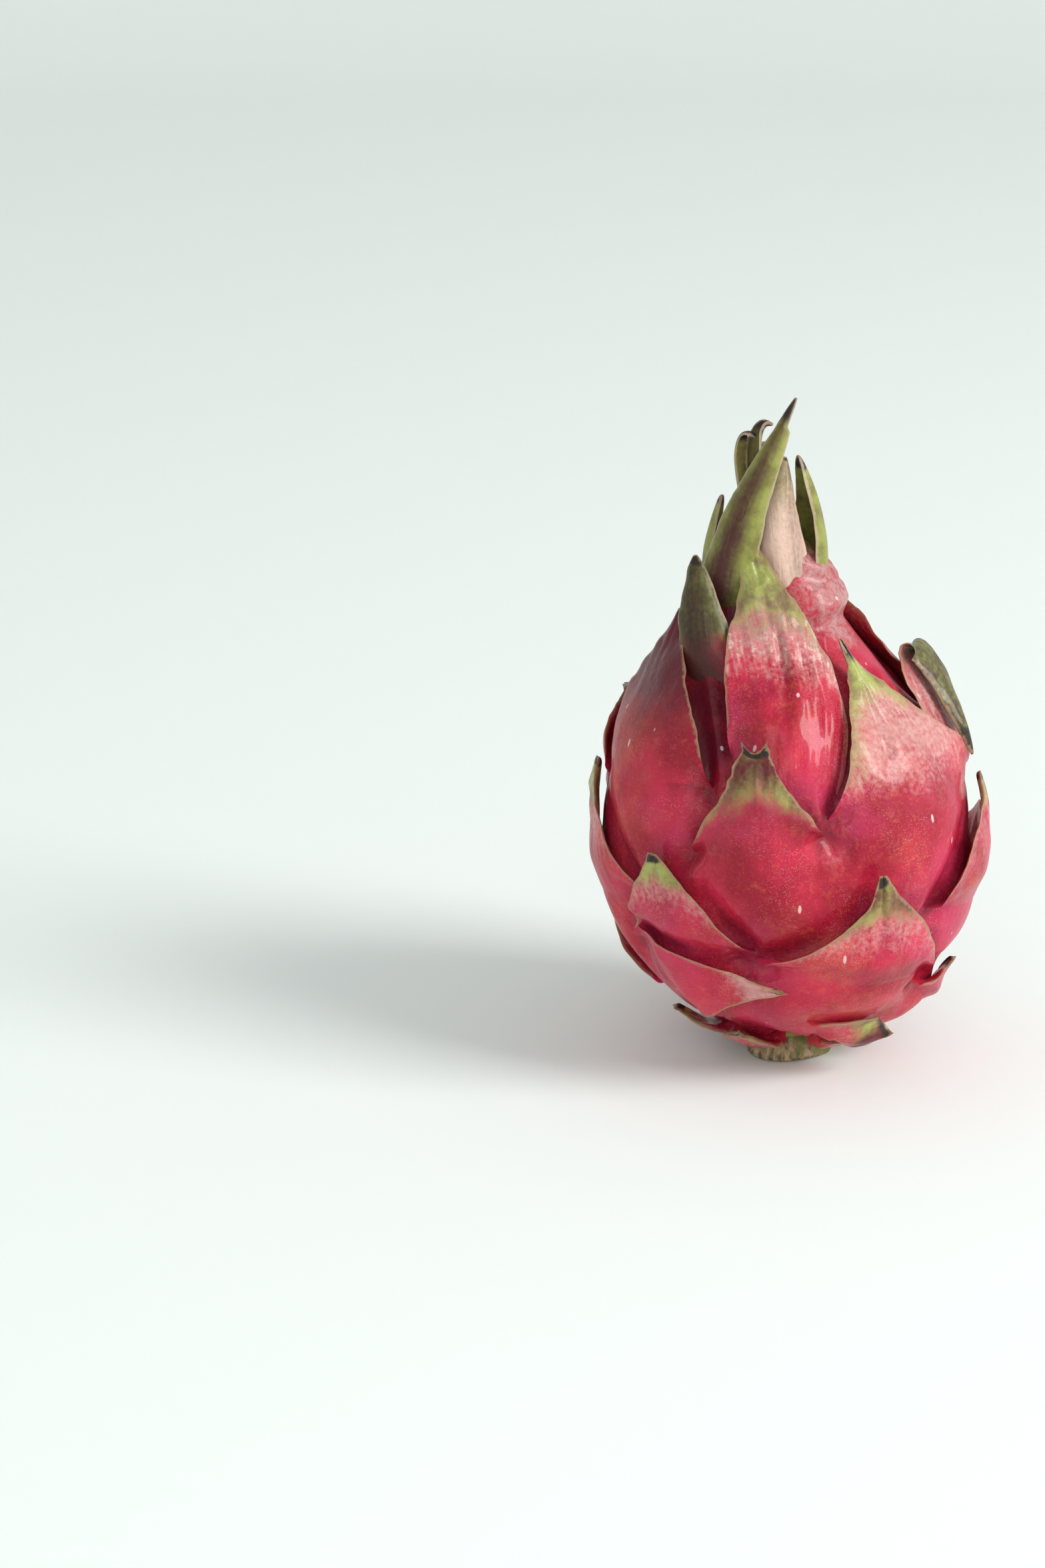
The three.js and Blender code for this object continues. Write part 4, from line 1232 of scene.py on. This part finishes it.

# %% [markdown]
# ## The fruit's colours
#
# One group holds the order in which colours lie on each other: red skin in patches of
# four shades with pale pores, the pale stretch with its frost, green in two shades, the
# purple flush together with the painted maroon shade of crevices and shaded places, the
# dead tip, a few small scars, and the thin dry line of the edge. Each
# material uses it with its own shades.

# %% The colours group and its sockets
SHADES = {
    "Red": (0.31, 0.004, 0.021, 1),
    "Bright Red": (0.585, 0.022, 0.064, 1),
    "Cool Red": (0.55, 0.035, 0.13, 1),
    "Warm Red": (0.66, 0.12, 0.06, 1),
    "Pale": (0.60, 0.28, 0.26, 1),
    "Green": (0.33, 0.36, 0.075, 1),
    "Olive": (0.17, 0.12, 0.045, 1),
    # Flush and Shade colours both the purple flush and the painted maroon shade
    "Flush and Shade": (0.13, 0.007, 0.018, 1),
    "Dead": (0.030, 0.020, 0.014, 1),
    "Edge": (0.36, 0.21, 0.12, 1),
    "Scar": (0.80, 0.62, 0.58, 1),
}
VALUES = ("Greenness", "Paleness", "Flushing and Shade", "Dryness", "Edge Distance", "Streakiness")
sockets = {"Where": "Vector", "Grain": "Vector", "Raggedness": "Float"}
sockets |= {value: "Float" for value in VALUES} | {shade: "Color" for shade in SHADES}
colours, put_in, put_out = new_group(
    "fruit_colours", sockets, {"Color": "Color", "Streaks": "Float", "Pores": "Float"}
)
print("colours group:", len(sockets), "inputs")

# %% Red skin with pores
SKIN_PATCHES = [  # shade, share, noise scale, detail and roughness, and its two limits
    ("Bright Red", 1.0, 55.0, 4.0, 0.55, 0.34, 0.7),
    ("Warm Red", 0.35, 42.0, 5.0, 0.65, 0.5, 0.72),
    ("Cool Red", 0.45, 36.0, 4.0, 0.6, 0.54, 0.36),
    ("Warm Red", 0.3, 1500.0, 3.0, 0.7, 0.54, 0.72),
    ("Warm Red", 0.28, 330.0, 3.0, 0.7, 0.54, 0.72),
]
PORE_PATCHES = (80.0, 3.0, 0.6, 0.38, 0.66)
PORE_SHARE = 0.24
where = put_in["Where"]
skin_colour = put_in["Red"]
for shade, share, *cloud in SKIN_PATCHES:
    amount = times(colours, patches(colours, where, *cloud), share)
    skin_colour = mixed(colours, amount, skin_colour, put_in[shade])
skin_pores = use(colours, "Group")
skin_pores.node_tree = pores
feed(colours, skin_pores.inputs["Where"], where)
amount = times(colours, patches(colours, where, *PORE_PATCHES), PORE_SHARE)
amount = times(colours, skin_pores.outputs["Mask"], amount)
skin_colour = mixed(colours, amount, skin_colour, put_in["Scar"])
print("red skin:", len(colours.nodes), "nodes so far")

# %% [markdown]
# The border between two colours on a leaf is never a smooth line. It is ragged like a
# cloud on the skin, and drawn out into streaks along a leaf. One value holds both, and
# it is added to a mark before the mark is eased into a share.

# %% Ragged borders
streaks = noise(colours, put_in["Grain"], 1.0, 3.0, 0.6)
clouds = noise(colours, where, 150.0, 4.0, 0.6)
fine_clouds = noise(colours, where, *FINE_GRAIN)
borders = times(colours, put_in["Streakiness"], maths(colours, "SUBTRACT", streaks, clouds))
borders = plus(colours, plus(colours, borders, clouds), fine_clouds)
ragged = times(colours, maths(colours, "SUBTRACT", borders, 1.0), put_in["Raggedness"])


def frayed(value, amount, low, high):
    """A mark with a ragged border: noise is added only where the mark has begun."""
    begun = eased(colours, value, 0.0, 0.3)
    fray = times(colours, times(colours, ragged, amount), begun)
    return eased(colours, plus(colours, value, fray), low, high)


print("borders:", len(colours.nodes), "nodes so far")

# %% Pale, green, flushed and dead
FROST_SHARE = 0.8
MOTTLE = (160.0, 4.0, 0.6, 0.42, 0.66)
frost = times(
    colours, eased(colours, ragged, 0.03, 0.22), eased(colours, put_in["Paleness"], 0.25, 0.8)
)
frost = times(colours, frost, eased(colours, put_in["Streakiness"], 0.2, 1.0))
pale_colour = mixed(colours, times(colours, frost, FROST_SHARE), put_in["Pale"], put_in["Scar"])
mottle = patches(colours, where, *MOTTLE)
green_colour = mixed(colours, mottle, put_in["Green"], put_in["Olive"])
COVERS = [  # mark, how much its border frays, its two limits, and its colour
    ("Paleness", 1.3, 0.1, 0.95, pale_colour),
    ("Greenness", 0.7, 0.08, 0.92, green_colour),
    ("Flushing and Shade", 0.6, 0.05, 0.95, put_in["Flush and Shade"]),
    ("Dryness", 0.4, 0.2, 0.85, put_in["Dead"]),
]
leaf_colour = skin_colour
shares = {}
for mark, fray, low, high, colour in COVERS:
    shares[mark] = frayed(put_in[mark], fray, low, high)
    leaf_colour = mixed(colours, shares[mark], leaf_colour, colour)
print("covers:", ", ".join(shares))

# %% Scars and the edge's dry line
SCARS = (190.0, 0.09, 0.065, 0.5)  # cells to a metre, rim, full, chosen above
SCAR_LENGTH = 0.36  # the pattern's squeeze upwards, which makes a scar long
SCAR_SHARE = 0.7
LINE_SHARE = 0.75
LINE_FRAY = 1.6
long_cells = use(colours, "Mapping", Vector=where, Scale=(1.0, 1.0, SCAR_LENGTH)).outputs[0]
not_green = times(colours, shares["Greenness"], SCAR_SHARE)
not_green = maths(colours, "SUBTRACT", SCAR_SHARE, not_green)
scars = times(colours, dots(colours, long_cells, *SCARS), not_green)
leaf_colour = mixed(colours, scars, leaf_colour, put_in["Scar"])
line = plus(colours, put_in["Edge Distance"], times(colours, ragged, LINE_FRAY))
line_share = times(colours, eased(colours, line, 0.7, 0.15), LINE_SHARE)
feed(colours, put_out["Color"], mixed(colours, line_share, leaf_colour, put_in["Edge"]))
feed(colours, put_out["Streaks"], streaks)
feed(colours, put_out["Pores"], skin_pores.outputs["Height"])
print("colours group:", len(colours.nodes), "nodes")

# %% [markdown]
# ## Materials
#
# All living parts share one recipe: the colours group feeds the Base Color, pores and
# streaks feed a Bump, and the waxy bloom is a clear coat over a slightly rough skin.
# Light also enters the flesh a little way, so subsurface scattering is on.

# %% The recipe for living skin
WAX = {
    "Coat Roughness": 0.1,
    "Specular IOR Level": 0.15,
    "Subsurface Weight": 0.12,
    "Subsurface Radius": (1.0, 0.25, 0.15),
    "Subsurface Scale": 0.0012,
}
PORE_HEIGHT = 0.6  # heights of the pores and of the lumps, where the streaks' is 1
LUMP_HEIGHT = 2.5
LUMPS = (330.0, 3.0, 0.6)


def new_material(name, values):
    """A material, its node tree and its shader, with values set on the shader."""
    material = bpy.data.materials.new(name)
    material.use_nodes = True
    surface = material.node_tree.nodes["Principled BSDF"]
    for socket, value in values.items():
        surface.inputs[socket].default_value = value
    return material, material.node_tree, surface


def read_mark(tree, name):
    """The named value that the mesh carries."""
    node = tree.nodes.new("ShaderNodeAttribute")
    node.attribute_name = name
    return node.outputs["Fac"]


def living_material(name, rough, coat, bump, shades, ragged, stretch):
    """Skin or leaf. Bump is the relief in metres, shades replace some of SHADES, ragged
    is how much colour borders fray, and stretch is the streaks' scale across and along."""
    material, tree, surface = new_material(name, {"Roughness": rough, "Coat Weight": coat, **WAX})
    where = use(tree, "TexCoord").outputs["Object"]
    uv = tree.nodes.new("ShaderNodeUVMap")
    uv.uv_map = "grain"
    grain = use(tree, "Mapping", Vector=uv.outputs["UV"], Scale=(*stretch, 1.0)).outputs[0]
    group = tree.nodes.new("ShaderNodeGroup")
    group.node_tree = colours
    marks = {socket: read_mark(tree, mark) for socket, mark in zip(VALUES, MARKS)}
    plain = {"Where": where, "Grain": grain, "Raggedness": ragged}
    for socket, value in {**plain, **marks, **SHADES, **shades}.items():
        feed(tree, group.inputs[socket], value)
    height = plus(tree, times(tree, group.outputs["Pores"], PORE_HEIGHT), group.outputs["Streaks"])
    height = plus(tree, height, times(tree, noise(tree, where, *LUMPS), LUMP_HEIGHT))
    relief_node = use(tree, "Bump", Height=height, Strength=0.7, Distance=bump)
    feed(tree, surface.inputs["Base Color"], group.outputs["Color"])
    feed(tree, surface.inputs["Normal"], relief_node.outputs[0])
    return material


# %% Skin, scales and crown leaves
SKIN_SHADES = {"Pale": (0.46, 0.25, 0.24, 1)}
SCALE_SHADES = {
    # deep crimson, for the purple flush and for the painted shade of crevices and the left flank
    "Flush and Shade": (0.12, 0.009, 0.018, 1),
    "Green": (0.38, 0.40, 0.11, 1),
    "Olive": (0.24, 0.16, 0.08, 1),
}
CROWN_SHADES = {
    "Pale": (0.80, 0.55, 0.44, 1),
    "Green": (0.28, 0.29, 0.07, 1),
    "Olive": (0.18, 0.16, 0.045, 1),
    "Flush and Shade": (0.075, 0.022, 0.02, 1),
    "Edge": (0.42, 0.31, 0.22, 1),
}
skin_material = living_material(
    "waxy_red_skin", 0.42, 0.22, 0.00028, SKIN_SHADES, ragged=1.0, stretch=(3.0, 0.6)
)
scale_material = living_material(
    "scale_skin", 0.42, 0.3, 0.00028, SCALE_SHADES, ragged=0.9, stretch=(9.0, 0.9)
)
crown_material = living_material(
    "crown_leaf", 0.45, 0.15, 0.0002, CROWN_SHADES, ragged=0.6, stretch=(14.0, 0.8)
)
print("living materials:", skin_material.name, scale_material.name, crown_material.name)

# %% [markdown]
# Dead tissue is dull and fibrous: dark and light streaks that run up the stem, patches
# of green over them, a strong bump, and no coat.

# %% Dead wood and withered petals
FIBRE_LENGTH = 0.3  # the pattern's squeeze upwards, which makes a fibre long
FIBRE_HEIGHT = 0.0008
FIBRES = (700.0, 5.0, 0.65)
MOSS = (160.0, 3.0, 0.5, 0.5, 0.68)


def dead_material(name, dark, light, moss):
    """Long fibres in three shades."""
    material, tree, surface = new_material(name, {"Roughness": 0.8})
    where = use(tree, "TexCoord").outputs["Object"]
    long_way = use(tree, "Mapping", Vector=where, Scale=(1.0, 1.0, FIBRE_LENGTH)).outputs[0]
    fibres = noise(tree, long_way, *FIBRES)
    colour = mixed(tree, eased(tree, fibres, 0.35, 0.65), dark, light)
    mossy = patches(tree, where, *MOSS)
    feed(tree, surface.inputs["Base Color"], mixed(tree, mossy, colour, moss))
    relief_node = use(tree, "Bump", Height=fibres, Strength=1.0, Distance=FIBRE_HEIGHT)
    feed(tree, surface.inputs["Normal"], relief_node.outputs[0])
    return material


stem_material = dead_material(
    "cut_stem", (0.09, 0.05, 0.028, 1), (0.55, 0.4, 0.22, 1), (0.17, 0.18, 0.05, 1)
)
withered_material = dead_material(
    "withered", (0.03, 0.022, 0.012, 1), (0.16, 0.11, 0.05, 1), (0.09, 0.10, 0.03, 1)
)
print("dead materials:", stem_material.name, withered_material.name)

# %% [markdown]
# ## Dress the imported solids
#
# Every fine piece stands for the imported node of the same name, carries a slot that is
# chosen by what the node is, takes its finish from it, and rides on the fruit's one body. The
# two withered tips are still green below, so they are coloured as blades.

# %% Ride, replace and slot
SLOT_MATERIALS = {
    "skin": skin_material,
    "scale_bract": scale_material,
    "crown_bract": crown_material,
    "stem": stem_material,
    "withered": withered_material,
}
GREEN_TIPS = ("withered_tip_left", "withered_tip_right")


def slot_of(node):
    """The finish that a node takes: by what it is."""
    if node == "fruit_body":
        return "skin"
    if node == "stem_stub":
        return "stem"
    if node.startswith("withered"):
        return "withered"
    return "crown_bract" if node.startswith("crown") else "scale_bract"


for name, piece in pieces.items():
    node = name.removeprefix("fine_")
    slot_name = slot_of(node)
    piece.data.materials.append(SLOT_MATERIALS["crown_bract" if node in GREEN_TIPS else slot_name])
    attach(piece, "root")
    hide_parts(node)
print("dressed", len(pieces), "nodes")

# %% [markdown]
# ## Floor and backdrop
#
# A plain pale sweep: a flat floor that curves up into a wall all round, so that no
# corner or horizon shows from any side. It is a profile of radius and height, turned.

# %% The sweep
FLOOR_RADIUS = 1.6  # this and the next three in metres
SWEEP_RADIUS = 0.9
WALL_TOP = 2.4
FIRST_RING = 0.4
SWEEP_AROUND = 96
SWEEP_STEPS = 24  # points along the curve

bend = np.linspace(0, pi / 2, SWEEP_STEPS)[1:]
sweep_r = [FIRST_RING, FLOOR_RADIUS, *(FLOOR_RADIUS + SWEEP_RADIUS * np.sin(bend))]
sweep_r = np.array([*sweep_r, sweep_r[-1]])
sweep_z = np.array([0, 0, *(SWEEP_RADIUS * (1 - np.cos(bend))), WALL_TOP])
sweep_a = np.linspace(0, 2 * pi, SWEEP_AROUND, endpoint=False)
sweep_x, sweep_y = (sweep_r[:, None] * turned(sweep_a) for turned in (np.cos, np.sin))
sweep_grid = np.stack(np.broadcast_arrays(sweep_x, sweep_y, sweep_z[:, None]), -1)
index = 1 + np.arange(sweep_r.size * SWEEP_AROUND).reshape(sweep_r.size, SWEEP_AROUND)
nxt = np.roll(index, -1, axis=1)
sweep_faces = np.stack([index[:-1], index[1:], nxt[1:], nxt[:-1]], -1).reshape(-1, 4).tolist()
sweep_faces += [[0, a, b] for a, b in zip(index[0].tolist(), nxt[0].tolist())]
print("sweep of", len(sweep_faces), "faces")

# %% Paper on the sweep
sweep_mesh = bpy.data.meshes.new("sweep")
sweep_mesh.from_pydata([[0, 0, 0]] + sweep_grid.reshape(-1, 3).tolist(), [], sweep_faces)
sweep_mesh.shade_smooth()
sweep = add_object("sweep", sweep_mesh)
paper, _, _ = new_material(
    "pale_paper",
    {"Base Color": (0.905, 0.925, 0.915, 1), "Roughness": 0.9, "Specular IOR Level": 0.1},
)
sweep_mesh.materials.append(paper)
print("papered", sweep.name)

# %% [markdown]
# ## Light and camera
#
# One large soft light stands to the right, above and a little in front, and a weaker one
# fills from the front. The sky light is pale and even. The camera looks down at the
# fruit a little, with a long lens, and keeps the fruit in the right half of the picture.

# %% Lights
FRUIT_MIDDLE = (0, 0, 0.07)


def aim(thing, target):
    """Turns a light so that it shines at a point."""
    dx, dy, dz = (t - p for t, p in zip(target, thing.location))
    thing.rotation_euler = (atan2(np.hypot(dx, dy), -dz), 0, atan2(dx, -dy) + pi)


def soft_light(name, place, size, power, colour):
    """A square light panel aimed at the middle of the fruit."""
    panel = bpy.data.lights.new(name, "AREA")
    panel.size = size
    panel.energy = power
    panel.color = colour
    lamp = add_object(name, panel)
    lamp.location = place
    lamp.visible_camera = False
    aim(lamp, FRUIT_MIDDLE)


soft_light("key", (1.7, -0.75, 1.28), 1.0, 40, (0.985, 1.0, 0.985))
soft_light("fill", (-0.2, -1.7, 0.9), 0.9, 4, (0.95, 0.98, 1.0))
world = bpy.data.worlds.new("even_sky")
bpy.context.scene.world = world
world.use_nodes = True
sky = world.node_tree.nodes["Background"]
sky.inputs["Color"].default_value = (0.94, 1.0, 0.98, 1)
sky.inputs["Strength"].default_value = 0.505
bpy.context.scene.view_settings.view_transform = "Standard"

# %% Camera
LOOKS_DOWN = 17.744  # degrees
lens = bpy.data.cameras.new("camera")
lens.lens = 89.54
lens.sensor_width = 36
camera = add_object("camera", lens)
camera.location = (-0.0609, -0.8387, 0.3322)
camera.rotation_euler = (radians(90 - LOOKS_DOWN), 0, 0)
bpy.context.scene.camera = camera
print("camera at", list(camera.location))
